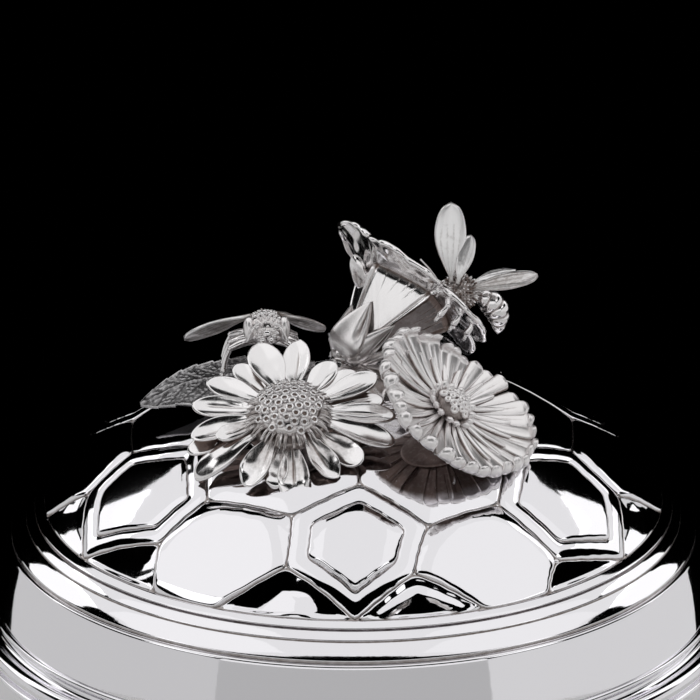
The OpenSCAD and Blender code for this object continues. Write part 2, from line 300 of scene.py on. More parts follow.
def silver(name, base, dark, rough, wear, bump, dark_from=0.15, dark_to=0.85, tarnish=0.0, grain=900.0):
    """Silver: bright high places, darker warm oxide in recesses and painted shade where the vertex mark is high,
    hair-fine scratches and cloudy polish.
    """
    mat = bpy.data.materials.new(name)
    mat.use_nodes = True
    nt = mat.node_tree
    nt.nodes.clear()
    N, L = nt.nodes.new, nt.links.new
    out, sh = N("ShaderNodeOutputMaterial"), N("ShaderNodeBsdfPrincipled")
    L(sh.outputs["BSDF"], out.inputs["Surface"])
    sh.inputs["Metallic"].default_value = 1.0
    co = N("ShaderNodeTexCoord")

    def noise(scale, detail, ro=0.55, dist=0.0, stretch=None):
        n = N("ShaderNodeTexNoise")
        n.inputs["Scale"].default_value = scale
        n.inputs["Detail"].default_value = detail
        n.inputs["Roughness"].default_value = ro
        n.inputs["Distortion"].default_value = dist
        if stretch:
            m = N("ShaderNodeMapping")
            m.inputs["Scale"].default_value = stretch
            m.inputs["Rotation"].default_value = (0.3, 0.2, 0.5)
            L(co.outputs["Object"], m.inputs["Vector"])
            L(m.outputs["Vector"], n.inputs["Vector"])
        else:
            L(co.outputs["Object"], n.inputs["Vector"])
        return n.outputs["Fac"]

    def math_(op, a, b, clamp=False):
        n = N("ShaderNodeMath")
        n.operation = op
        n.use_clamp = clamp
        for s, x in zip(n.inputs, (a, b)):
            if isinstance(x, (int, float)):
                s.default_value = x
            else:
                L(x, s)
        return n.outputs[0]

    def ramp(fac, stops):
        n = N("ShaderNodeValToRGB")
        el = n.color_ramp.elements
        while len(el) < len(stops):
            el.new(0.5)
        for e, (p, c) in zip(el, stops):
            e.position = p
            e.color = (*c, 1) if len(c) == 3 else c
        L(fac, n.inputs["Fac"])
        return n.outputs["Color"]

    def span(fac, lo, hi, a, b):
        n = N("ShaderNodeMapRange")
        n.inputs["From Min"].default_value = lo
        n.inputs["From Max"].default_value = hi
        n.inputs["To Min"].default_value = a
        n.inputs["To Max"].default_value = b
        L(fac, n.inputs["Value"])
        return n.outputs["Result"]

    oxide_and_shade = N("ShaderNodeAttribute")
    oxide_and_shade.attribute_name = "oxide_and_shade"
    cloud = noise(60.0, 3.0)
    fine = noise(grain, 4.0, 0.6)
    hair = noise(2600.0, 2.0, 0.5, 0.0, (1.0, 0.06, 0.06))
    # recess oxide and painted shade from the vertex mark, broken up by the fine grain
    darkening = math_("ADD", oxide_and_shade.outputs["Fac"], math_("MULTIPLY", math_("SUBTRACT", fine, 0.5), 0.5))
    if tarnish:
        darkening = math_("ADD", darkening, math_("MULTIPLY", math_("SUBTRACT", cloud, 0.42), tarnish))
    darkening = span(darkening, dark_from, dark_to, 0.0, 1.0)
    mid = tuple(0.55 * b + 0.45 * d for b, d in zip(base, dark))
    L(ramp(darkening, [(0.0, base), (0.45, mid), (1.0, dark)]), sh.inputs["Base Color"])
    r = math_("ADD", span(cloud, 0.3, 0.7, rough, rough + wear), span(hair, 0.45, 0.75, 0.0, wear * 0.6))
    r = math_("ADD", r, math_("MULTIPLY", darkening, 0.22), True)
    L(r, sh.inputs["Roughness"])
    if bump:
        b = N("ShaderNodeBump")
        b.inputs["Strength"].default_value = bump
        b.inputs["Distance"].default_value = 0.0002
        L(math_("ADD", fine, math_("MULTIPLY", hair, 0.4)), b.inputs["Height"])
        L(b.outputs["Normal"], sh.inputs["Normal"])
    return mat


POLISHED = silver("polished_silver", (0.945, 0.932, 0.962), (0.21, 0.17, 0.15), 0.025, 0.03, 0.012, 0.25, 1.0)
CAST = silver("cast_silver", (0.955, 0.935, 0.938), (0.20, 0.15, 0.13), 0.11, 0.07, 0.05, 0.2, 1.0, 0.2, 1400.0)
SATIN = silver("cast_satin", (0.955, 0.928, 0.928), (0.21, 0.155, 0.135), 0.27, 0.08, 0.06, 0.2, 1.0, 0.15, 1400.0)
# leaf silver: a frosted, pebbled finish whose base colour is darkened to grey as painted shade
MATTED_SHADED = silver("cast_matted_shaded", (0.62, 0.61, 0.62), (0.10, 0.095, 0.098), 0.13, 0.10, 0.22, 0.15, 1.0, 0.5, 1700.0)
WING = silver("wing_silver", (0.965, 0.955, 0.955), (0.22, 0.175, 0.155), 0.27, 0.08, 0.10, 0.15, 0.9, 0.2, 2200.0)
FITTING = silver("silver_fittings", (0.88, 0.87, 0.85), (0.20, 0.17, 0.14), 0.12, 0.10, 0.06, 0.2, 0.9, 0.3)

# ---------------------------------------------------------------- bowl

FLUTES = 36


def bowl_pt(u, r0, r1, z0, z1):
    return np.stack([r0 + (r1 - r0) * (1 - (1 - u) ** 2.4) ** 0.62, z0 + (z1 - z0) * u], -1)


def bowl():
    u = np.linspace(0, 1, 84) ** 1.6
    outer = bowl_pt(u, 27.6, 54.0, 8.6, 68.5)
    inner = bowl_pt(u[::-1], 27.0, 52.8, 9.8, 68.5)
    seg = FLUTES * 14
    a = np.linspace(0, 2 * pi, seg, endpoint=False)[:, None]
    q = ((a * FLUTES / (2 * pi)) % 1.0) * 2 - 1
    r, z = outer[None, :, 0], outer[None, :, 1]
    top = 66.2 - 1.6 * q**2
    low = 15.0 + 3.0 * q**2
    depth = 0.85 * (1 - q**2) * step(top, top - 1.4, z) * step(low, low + 9.0, z) * (r / 54.0)
    ro = r - depth
    # a fine chased thread between the flutes
    ridge = 0.10 * np.exp(-((1 - np.abs(q)) / 0.06) ** 2) * step(66.6, 65.6, z) * step(14, 22, z)
    ro = ro + ridge
    c_out = 0.95 * np.exp(-((1 - np.abs(q) - 0.07) / 0.05) ** 2) * step(66.6, 65.6, z) * step(14, 22, z)
    P = np.concatenate([
        np.stack([ro * np.cos(a), ro * np.sin(a), np.broadcast_to(z, ro.shape)], -1),
        np.stack([inner[None, :, 0] * np.cos(a), inner[None, :, 0] * np.sin(a), np.broadcast_to(inner[None, :, 1], (seg, len(inner)))], -1),
    ], 1)
    n = P.shape[1]
    s = Shape()
    c = np.concatenate([np.broadcast_to(c_out, ro.shape), np.zeros((seg, len(inner)))], 1)
    v = np.concatenate([P.reshape(-1, 3), [[0, 0, 8.6], [0, 0, 9.8]]])
    i = np.arange(seg)
    j = (i + 1) % seg
    s.add(v, [quads(seg, n, True, False), np.stack([j * n, i * n, np.full(seg, seg * n)], -1),
              np.stack([i * n + n - 1, j * n + n - 1, np.full(seg, seg * n + 1)], -1)],
          np.concatenate([c.reshape(-1), [0, 0]]))
    s.make("bowl_body_fluted", POLISHED, "bowl", "bowl_wall", "polished_silver", sharp=40)

    # rim: flat seat, cavetto, half-round
    arc = [(53.6 + 1.3 * math.cos(t), 69.75 + 1.3 * math.sin(t)) for t in np.linspace(pi * 0.66, -pi * 0.44, 26)]
    prof = [(50.4, 68.6), (50.4, 72.0), (52.2, 72.0), (52.25, 71.35), (52.55, 71.05), (52.8, 70.95)] + arc + [(52.9, 68.55)]
    rad = [0.25, 0.3, 0.18, 0.1, 0.1, 0.06] + [0] * len(arc) + [0.05]
    oxide_and_shade = [0.0] * len(prof)
    Shape().revolve(fillet(prof, rad), 256).make("rim_half_round", POLISHED, "bowl", "bowl_rim_moulding", "polished_silver", sharp=50)
    t = np.linspace(0, 2 * pi, 20, endpoint=False)
    Shape().revolve(np.stack([54.32 + 0.52 * np.cos(t), 67.75 + 0.5 * np.sin(t)], -1), 256).make(
        "rim_lower_wire", POLISHED, "bowl", "bowl_rim_wire", "polished_silver")

    # collar and foot
    an = np.radians(np.linspace(0, 90, 22))
    out = np.stack([32.5 - 4.6 * np.sin(an), 8.6 - 5.6 * np.cos(an)], -1)
    inn = np.stack([31.1 - 4.6 * np.sin(an[::-1]), 8.6 - 5.6 * np.cos(an[::-1])], -1)
    collar = np.concatenate([out, inn])
    s = Shape().revolve(collar, 192, oxide_and_shade=0.0)
    # chased thread round the collar
    s.revolve(np.stack([29.35 + 0.28 * np.cos(t), 5.05 + 0.28 * np.sin(t)], -1), 192)
    s.make("foot_collar_chased", POLISHED, "bowl", "foot_collar", "polished_silver", sharp=45)
    arc = [(32.5 + 1.5 * math.cos(w), 1.5 + 1.5 * math.sin(w)) for w in np.linspace(pi / 2, -pi / 2, 26)]
    prof = [(30.0, 0.0), (30.0, 3.0)] + arc
    Shape().revolve(fillet(prof, [0.3, 0.3] + [0] * len(arc)), 192).make("foot_bead_ring", POLISHED, "bowl", "foot_ring", "polished_silver", sharp=50)


bowl()

# ---------------------------------------------------------------- lid: dome with honeycomb


def pol(s, deg):
    return np.array([s * math.cos(math.radians(deg)), s * math.sin(math.radians(deg))])


def on_dome(uv, h):
    uv = np.asarray(uv, float)
    s = np.hypot(uv[..., 0], uv[..., 1])
    th = s / SR
    k = np.where(s > 1e-9, np.sin(th) / np.maximum(s, 1e-9), 1 / SR)
    r = SR + h
    return np.stack([r * k * uv[..., 0], r * k * uv[..., 1], SZ + r * np.cos(th)], -1)


def honeycomb():
    jig = np.random.RandomState(5)
    V = {}
    for k in range(6):
        m, c = -90 + 60 * k, -60 + 60 * k
        V["a", k] = pol(12.05, m)
        V["b", k] = pol(25.6, m)
        V["c", k, -1], V["c", k, 1] = pol(33.2, c - 11.2), pol(33.2, c + 11.2)
        V["d", k, -1], V["d", k, 1] = pol(42.2, m - 14.0), pol(42.2, m + 14.0)
        V["e", k] = pol(S_BORDER, m)
        V["f", k, -1], V["f", k, 1] = pol(S_BORDER, c - 6.6), pol(S_BORDER, c + 8.6)
    for key in list(V):
        if key[0] in "abcd":
            V[key] = V[key] + jig.uniform(-0.45, 0.45, 2)
    # the front cells, as the photograph has them
    V["b", 0] = np.array([0.9, -26.2])
    V["c", 5, 1], V["c", 0, -1] = np.array([-9.1, -31.6]), np.array([11.0, -33.2])
    V["d", 0, -1], V["d", 0, 1] = np.array([-10.2, -40.4]), np.array([9.2, -41.6])
    V["e", 0] = pol(S_BORDER, -89.8)
    V["d", 5, 1], V["d", 1, -1] = np.array([-29.4, -30.4]), np.array([31.2, -32.6])
    V["f", 5, -1], V["f", 5, 1] = pol(S_BORDER, -129.6), pol(S_BORDER, -115.9)
    V["f", 0, -1], V["f", 0, 1] = pol(S_BORDER, -65.2), pol(S_BORDER, -51.6)
    V["c", 0, 1] = np.array([21.3, -26.3])

    M = 18
    edges = {}

    def edge(a, b):
        if (b, a) in edges:
            return edges[b, a][::-1]
        if (a, b) not in edges:
            p, q = V[a], V[b]
            t = np.linspace(0, 1, M + 1)
            if a[0] in "ef" and b[0] in "ef":
                x, y = math.atan2(p[1], p[0]), math.atan2(q[1], q[0])
                y = x + (y - x + pi) % (2 * pi) - pi
                w = x + (y - x) * t
                line = S_BORDER * np.stack([np.cos(w), np.sin(w)], -1)
            else:
                line = p + (q - p) * t[:, None]
                n = unit(np.array([p[1] - q[1], q[0] - p[0]]))
                # the chaser's hand: the lines bow and waver a little
                bow = jig.uniform(-0.25, 0.25) * np.sin(pi * t)
                bow = bow + 0.05 * np.sin(2 * pi * t * jig.uniform(3, 5) + jig.uniform(0, 6)) * np.sin(pi * t)
                line = line + bow[:, None] * n
            edges[a, b] = line
        return edges[a, b]

    cells = [("frame", [("a", k) for k in range(6)])]
    for k in range(6):
        k1, k5 = (k + 1) % 6, (k - 1) % 6
        cells.append(("plain", [("a", k), ("b", k), ("c", k, -1), ("c", k, 1), ("b", k1), ("a", k1)]))
        cells.append(("frame", [("b", k), ("c", k5, 1), ("d", k, -1), ("e", k), ("d", k, 1), ("c", k, -1)]))
        cells.append(("flat", [("c", k, -1), ("d", k, 1), ("f", k, -1), ("f", k, 1), ("d", k1, -1), ("c", k, 1)]))
        cells.append(("rim_frame" if k == 0 else "rim_plain", [("d", k, 1), ("e", k), ("f", k, -1)]))
        cells.append(("rim_front" if k == 0 else "rim_plain", [("d", k, -1), ("f", k5, 1), ("e", k)]))

    def hump(x):
        return 1 - (1 - np.clip(x, 0, 1)) ** 2

    def spans(P, sides, scale):
        D = []
        for sd, sc_ in zip(sides, scale):
            a, b = sd[:-1], sd[1:]
            w = b - a
            t = np.clip(((P[:, None] - a) * w).sum(-1) / (w * w).sum(-1), 0, 1)
            D.append(np.linalg.norm(P[:, None] - (a + t[..., None] * w), axis=-1).min(1) * sc_)
        return np.array(D)

    def soft(D, k=3.2):
        m = D.min(0)
        return np.maximum(0, m - np.log(np.exp(-k * (D - m)).sum(0)) / k)

    LEVELS = np.array([0, 0.04, 0.09, 0.15, 0.22, 0.31, 0.43, 0.58, 0.78, 1.02, 1.3, 1.6, 1.9, 2.2, 2.45, 2.63, 2.76, 2.85, 2.92, 2.99, 3.08, 3.2,
                       3.38, 3.65, 4.05, 4.6, 5.3, 6.2, 7.2, 8.3, 9.4])
    s = Shape()
    for kind, names in cells:
        n = len(names)
        sides = [edge(names[i], names[(i + 1) % n]) for i in range(n)]
        scale = np.ones(n)
        outer = [names[i][0] in "ef" and names[(i + 1) % n][0] in "ef" for i in range(n)]
        loop = np.concatenate([x[:-1] for x in sides])
        area = 0.5 * (loop[:, 0] * np.roll(loop[:, 1], -1) - np.roll(loop[:, 0], -1) * loop[:, 1]).sum()
        if area < 0:
            loop = loop[::-1]
        c = loop.mean(0)
        if kind.startswith("rim"):
            wt = np.array([np.linalg.norm(V[names[(i + 1) % 3]] - V[names[(i + 2) % 3]]) for i in range(3)])
            c = sum(w_ * V[m_] for w_, m_ in zip(wt, names)) / wt.sum()
        dc = soft(spans(c[None], sides, scale))[0]
        lev = LEVELS[LEVELS < 0.965 * dc]
        if kind.startswith("rim"):
            lev = np.concatenate([LEVELS[:8], np.linspace(0.72, 0.96 * dc, 20)])
        # rings at even distances from the cell's outline
        rows = [loop]
        for lv in lev[1:]:
            lo, hi = np.zeros(len(loop)), np.ones(len(loop))
            for _ in range(18):
                f = 0.5 * (lo + hi)
                d = soft(spans(c + (loop - c) * (1 - f)[:, None], sides, scale))
                lo, hi = np.where(d < lv, f, lo), np.where(d < lv, hi, f)
            rows.append(c + (loop - c) * (1 - 0.5 * (lo + hi))[:, None])
        P = np.concatenate(rows + [c[None]])
        D = spans(P, sides, scale)
        d = soft(D)
        d[: len(loop)] = 0
        dmax = d.max()
        rho = np.linalg.norm(P - c, axis=1)
        facet = (rho**2 - rho[: len(loop)].mean() ** 2) / (2 * SR)  # flat plate between raised edges
        level = 0.30 - 0.65 * step(43.0, S_BORDER, np.linalg.norm(P, axis=1))
        line = -0.12 * np.exp(-(d / 0.12) ** 2)
        oxide_and_shade = 0.9 * np.exp(-(d / 0.15) ** 2)
        # plates lean up towards the top of the dome, and their upper sides roll over wider
        lean = -((P - c) @ unit(c)) if np.linalg.norm(c) > 1 else np.zeros(len(P))
        wide = []
        for sd in sides:
            o = unit(sd.mean(0) - c)
            wide.append(3.1 - 2.5 * step(-0.1, 0.5, float(np.dot(o, unit(c))) if np.linalg.norm(c) > 1 else 0.0))
        if kind == "frame":
            ribbon = 0.34 * (1 - ((d - 1.42) / 1.50) ** 2)
            ribbon = level + np.where(d < 1.42, ribbon, 0.34 - 0.30 * ((d - 1.42) / 1.50) ** 2) - 0.34 * (1 - (1.42 / 1.50) ** 2) * (d < 0.001)
            panel = np.ones(len(P))
            front = names[0] == ("b", 0)
            for Di, wi in zip(D, wide):
                panel = panel * hump((Di - 2.86) / min(3.3 if front else 2.0, max(0.8, wi)))
            h = np.where(d < 2.92, ribbon, level + 0.04 + panel * ((0.80 if front else 0.36) - 0.012 * lean + 0.06 * facet)) + line - 0.12 * np.exp(-(((d - 2.92) / 0.10) ** 2))
            oxide_and_shade = oxide_and_shade + 0.9 * np.exp(-(((d - 2.92) / 0.11) ** 2))
        elif kind.startswith("rim"):
            Du = soft(np.array([D[i] for i in range(n) if not outer[i]]), 1.6)
            Db = np.array([D[i] for i in range(n) if outer[i]]).min(0)
            far = abs(math.degrees(math.atan2(c[1], c[0])) + 90)
            if kind == "rim_frame":
                # a bent ribbon stands in the cell
                sink = step(0.0, 0.5, Du) * step(0.0, 0.8, Db)
                floor_ = np.interp(Du, [0, 0.3, 1.0, 1.3, 2.4, 2.65, 2.95, 5.5], [0.30, 0.22, -0.10, -0.13, -0.17, -0.32, -0.58, -0.95])
                oxide_and_shade = oxide_and_shade + 0.8 * step(2.3, 2.6, Du) * step(3.3, 2.9, Du)
            elif kind == "rim_front" or far < 62:
                sink, floor_ = hump(Du / 6.0) * step(0.0, 1.0, Db), -0.85
            else:
                sink, floor_ = hump(Du / 2.75) * step(0.0, 0.9, Db), -0.32
            h = line + level * (1 - sink) + floor_ * sink
            if kind == "rim_front":
                o = pol(1.0, -100.9)
                u, v = (P - (S_BORDER - 0.8) * o) @ np.array([-o[1], o[0]]), (P - (S_BORDER - 0.8) * o) @ o
                h = h + 0.62 * np.clip(1 - (u / 5.0) ** 2 - (v / 3.9) ** 2, 0, 1) ** 2 * step(0.0, 0.8, Db)
        elif kind == "flat":
            plate = np.ones(len(P))
            front = names[0] in (("c", 5, -1), ("c", 0, -1))
            crown = 0.85 * step(-1.0, 6.0, lean) if front else 0.0
            for Di, wi, rim in zip(D, wide, outer):
                wi = wi * 1.5 if front and wi > 2 else wi
                plate = plate * hump(Di / (2.4 if rim and names[0] == ("c", 5, -1) else wi))
            foot = 0.42 * step(2.0, 7.0, -lean) if names[0] == ("c", 5, -1) else 0.0
            h = level + line + plate * (foot + crown + 0.54 + 0.062 * lean + 0.8 * facet + 0.3 * (0.3 - level))
        else:
            plate = np.ones(len(P))
            for Di in D:
                plate = plate * hump(Di / 3.0)
            h = level + line + plate * (0.45 + 0.4 * facet)
        h[: len(loop)] = (level + line)[: len(loop)]
        k, m = len(rows), len(loop)
        i = np.arange(m)
        j = (i + 1) % m
        s.add(on_dome(P, h), [quads(k, m, wv=True), np.stack([i + (k - 1) * m, j + (k - 1) * m, np.full(m, k * m)], -1)], oxide_and_shade)
    # plain border strip, the edge, and the inside of the dome
    ring = []
    for (a, b), line in edges.items():
        if a[0] in "ef" and b[0] in "ef":
            ring.append(line[:-1])
            ring.append(line[1:])
    ang = np.concatenate(ring)
    ang = np.unique(np.round(np.arctan2(ang[:, 1], ang[:, 0]), 7))
    prof = [(S_BORDER, -0.47), (S_BORDER + 0.05, -0.42), (S_BORDER + 0.12, -0.36), (S_BORDER + 0.3, -0.29), (S_BORDER + 0.55, -0.20), (S_BORDER + 0.85, -0.09),
            (S_BORDER + 1.1, -0.01), (S_BORDER + 1.3, 0.04), (S_EDGE - 0.06, 0.05), (S_EDGE - 0.01, 0.02), (S_EDGE, -0.05)]
    inner = [(S_EDGE, -0.95), (S_EDGE - 0.2, -1.0)] + [(x, -1.0) for x in np.linspace(S_EDGE - 1, 1.0, 30)]
    g = np.array([[[x * math.cos(w), x * math.sin(w), h] for w in ang] for x, h in prof + inner])
    v = on_dome(g[..., :2], g[..., 2])
    k, m = v.shape[:2]
    i = np.arange(m)
    j = (i + 1) % m
    cv = np.zeros((k, m))
    cv[0] = 0.8
    s.add(np.concatenate([v.reshape(-1, 3), on_dome(np.zeros((1, 2)), np.array([-1.0]))]),
          [quads(k, m, wv=True), np.stack([i + (k - 1) * m, j + (k - 1) * m, np.full(m, k * m)], -1)], np.concatenate([cv.reshape(-1), [0]]))
    # punched pips where three cells meet
    s2 = Shape()
    for key, p in V.items():
        if key[0] in "bcd":
            c = on_dome(p[None], np.array([-0.12]))[0]
            e1, e2, n = along(c - np.array([0, 0, SZ]))
            s2.ball(c, np.array([e1, e2, n]), (0.42, 0.42, 0.34), 12, 8, 0.1)
    s.make("lid_dome_honeycomb", POLISHED, "lid", "lid_dome", "polished_silver", weld=True)
    s2.make("lid_dome_pips", POLISHED, "lid", None, "polished_silver")


honeycomb()


def lid_rings():
    strip = curve([(45.95, 85.74), (46.3, 85.5), (46.7, 85.16), (47.04, 84.84)], 14)
    ovolo = curve([(47.12, 84.50), (47.5, 84.24), (48.0, 83.84), (48.5, 83.39), (49.0, 82.88), (49.18, 82.68)], 30)
    prof = np.concatenate([[(44.8, 85.7), (45.3, 85.78), (45.84, 85.78)], strip, [(47.05, 84.76), (47.05, 84.54)], ovolo,
                           [(49.21, 82.6), (49.21, 82.2), (49.18, 82.1), (48.3, 82.1), (47.6, 83.0), (45.6, 84.0), (44.8, 84.8)]])
    oxide_and_shade = np.zeros(len(prof))
    oxide_and_shade[[1, 2]] = 0.5, 0.9
    k = 3 + len(strip)
    oxide_and_shade[[k - 1, k, k + 1, k + 2]] = 0.2, 0.9, 0.9, 0.2
    k = k + 2 + len(ovolo)
    oxide_and_shade[[k, k + 1]] = 0.6, 0.9
    Shape().revolve(prof, 256, oxide_and_shade).make("lid_shoulder_ovolo", POLISHED, "lid", "lid_shoulder_moulding", "polished_silver", sharp=40)
    out = np.concatenate([curve([(51.9, 72.1), (51.84, 73.0), (51.45, 75.4), (50.9, 78.0), (50.2, 80.6), (49.86, 81.75)], 50), [(49.78, 81.95), (49.6, 82.08), (49.3, 82.1)]])
    inn = curve([(48.3, 82.1), (48.3, 81.3), (49.05, 80.6), (50.1, 78.0), (50.75, 75.5), (51.04, 74.75), (51.06, 73.6), (51.1, 72.1)], 40)
    Shape().revolve(np.concatenate([out, inn]), 256).make("lid_band_rolled", POLISHED, "lid", "lid_band", "polished_silver", sharp=50)
    t = np.linspace(0, 2 * pi, 20, endpoint=False)
    Shape().revolve(np.stack([52.05 + 0.46 * np.cos(t), 72.56 + 0.45 * np.sin(t)], -1), 256).make(
        "lid_band_bead", POLISHED, "lid", "lid_band_wire", "polished_silver")
    prof = [(49.2, 65.1), (50.0, 65.1), (50.0, 73.7), (51.0, 73.7), (51.0, 74.7), (49.2, 74.7)]
    Shape().revolve(fillet(refine(prof, 1.2), 0.18, 3), 256).make("lid_bezel_sleeve", POLISHED, "lid", "lid_bezel", "polished_silver", sharp=50)


lid_rings()

# ---------------------------------------------------------------- finial fixings


def fixings():
    # boss: a cast cushion of small overlapping sepals
    e = np.eye(3)
    s = Shape()
    na, nr = 144, 26
    a = np.linspace(0, 2 * pi, na, endpoint=False)
    t = np.linspace(0.02, 1, nr)
    lump = wobble(3, 8, 0.4, 1.6)
    g, cv = [], []
    for x in t:
        w = x * pi / 2
        r = (1 + 8 * math.sin(w)) * (1 + 0.05 * x * np.cos(11 * a))
        z = ZA - 2 + 4.2 * math.cos(w)
        r = r - 0.28 * x * np.abs(np.cos(5.5 * a)) ** 8
        p = np.stack([r * np.cos(a), r * np.sin(a), np.full(na, z)], -1)
        p += 0.14 * lump(p)[:, None] * unit([0, 0, 1])
        g.append(p)
        cv.append(0.25 + 0.6 * np.abs(np.cos(5.5 * a)) ** 8)
    g, cv = np.array(g), np.array(cv)
    under = np.stack([8.4 * np.cos(a), 8.4 * np.sin(a), np.full(na, ZA - 2.3)], -1)
    s.rings(np.concatenate([g, under[None]]), np.concatenate([cv, np.full((1, na), 0.6)]))
    s.make("finial_boss_sepals", CAST, "lid", "finial_boss", "cast_silver", sharp=60)

    # stud with a cut thread
    s = Shape()
    a = np.linspace(0, 2 * pi, 40, endpoint=False)
    z = np.linspace(ZA - 6.7, ZA + 0.5, 150)
    th = (z[:, None] / 0.5 - a[None] / (2 * pi)) % 1.0
    r = 1.5 - 0.22 * (1 - np.abs(2 * th - 1))
    r = r * step(ZA - 7.3, ZA - 6.4, z)[:, None] ** 0.3
    g = np.stack([r * np.cos(a), r * np.sin(a), np.broadcast_to(z[:, None], r.shape)], -1)
    s.rings(g, 0.75 * (1 - np.abs(2 * th - 1)))
    s.make("finial_stud_threaded", FITTING, "lid", "finial_stud", "silver_fittings")

    # washer with rounded edges
    prof = fillet(refine([(1.62, ZA - 1.75), (4.0, ZA - 1.75), (4.0, ZA - 1.15), (1.62, ZA - 1.15)], 0.6), 0.14, 3)
    Shape().revolve(prof, 96).make("finial_washer_turned", FITTING, "lid", "finial_washer", "silver_fittings", sharp=50)

    # chamfered hexagon nut
    a = np.linspace(0, 2 * pi, 144, endpoint=False)
    apo = 3.2 * math.cos(pi / 6)
    hexr = apo / np.cos((a % (pi / 3)) - pi / 6)
    z0, z1 = ZA - 4.25, ZA - 1.75
    ch = (hexr - apo) * 0.6 + 0.08
    rows = [(np.full(144, 1.52), np.full(144, z0 + 0.25)), (np.full(144, 1.75), np.full(144, z0)), (np.full(144, apo * 0.965), np.full(144, z0)),
            (hexr - 0.02, z0 + ch), (hexr, z0 + ch + 0.08), (hexr, z1 - ch - 0.08), (hexr - 0.02, z1 - ch), (np.full(144, apo * 0.965), np.full(144, z1)),
            (np.full(144, 1.75), np.full(144, z1)), (np.full(144, 1.52), np.full(144, z1 - 0.25))]
    g = np.stack([np.stack([r * np.cos(a), r * np.sin(a), z], -1) for r, z in rows], 1)
    Shape().add(g, [quads(144, len(rows), True, True)], 0.1).make("finial_nut_chamfered", FITTING, "lid", "finial_nut", "silver_fittings", sharp=32)


fixings()


def stem(name, node, a, b, r, seed):
    a, b = np.asarray(a, float), np.asarray(b, float)
    mid = 0.5 * (a + b) + np.array([0, 0, 0.25])
    p = curve([a, mid, b], 22)
    t = np.linspace(0, 1, 22)
    rr = r * (0.92 + 0.16 * np.exp(-((t - 0.5) / 0.06) ** 2) + 0.1 * (1 - t))
    s = Shape().tube(p, rr, 18, 0.35)
    # a sheathing bract on the stem's joint
    u = unit(b - a)
    e1, e2, _ = along(u)
    for k in range(3):
        w = 2.1 * k + seed
        d = math.cos(w) * e1 + math.sin(w) * e2
        base = mid + d * r * 0.6
        s.ball(base - u * 0.9, np.array([-u, np.cross(d, u), d]), (1.5, 0.7, 0.45), 12, 8, 0.3)
    s.make(name, CAST, "lid", node, "cast_silver")


# ---------------------------------------------------------------- flowers

DAISY_P, DAISY_N = np.array([-9, -17, ZA + 2.1]), unit([-0.05, -0.47, 0.88])
ASTER_P, ASTER_N = np.array([13.3, -13, ZA + 1.1]), unit([0.565, -0.338, 0.75])
BELL_P, BELL_N = np.array([-0.2, 4, ZA + 3.9]), unit([0.699, 0.433, 0.569])


def plane(n):
    """In-plane axes: as near +X as can be, and up the slope."""
    e1 = unit(np.array([1.0, 0, 0]) - n[0] * n)
    return e1, np.cross(n, e1)


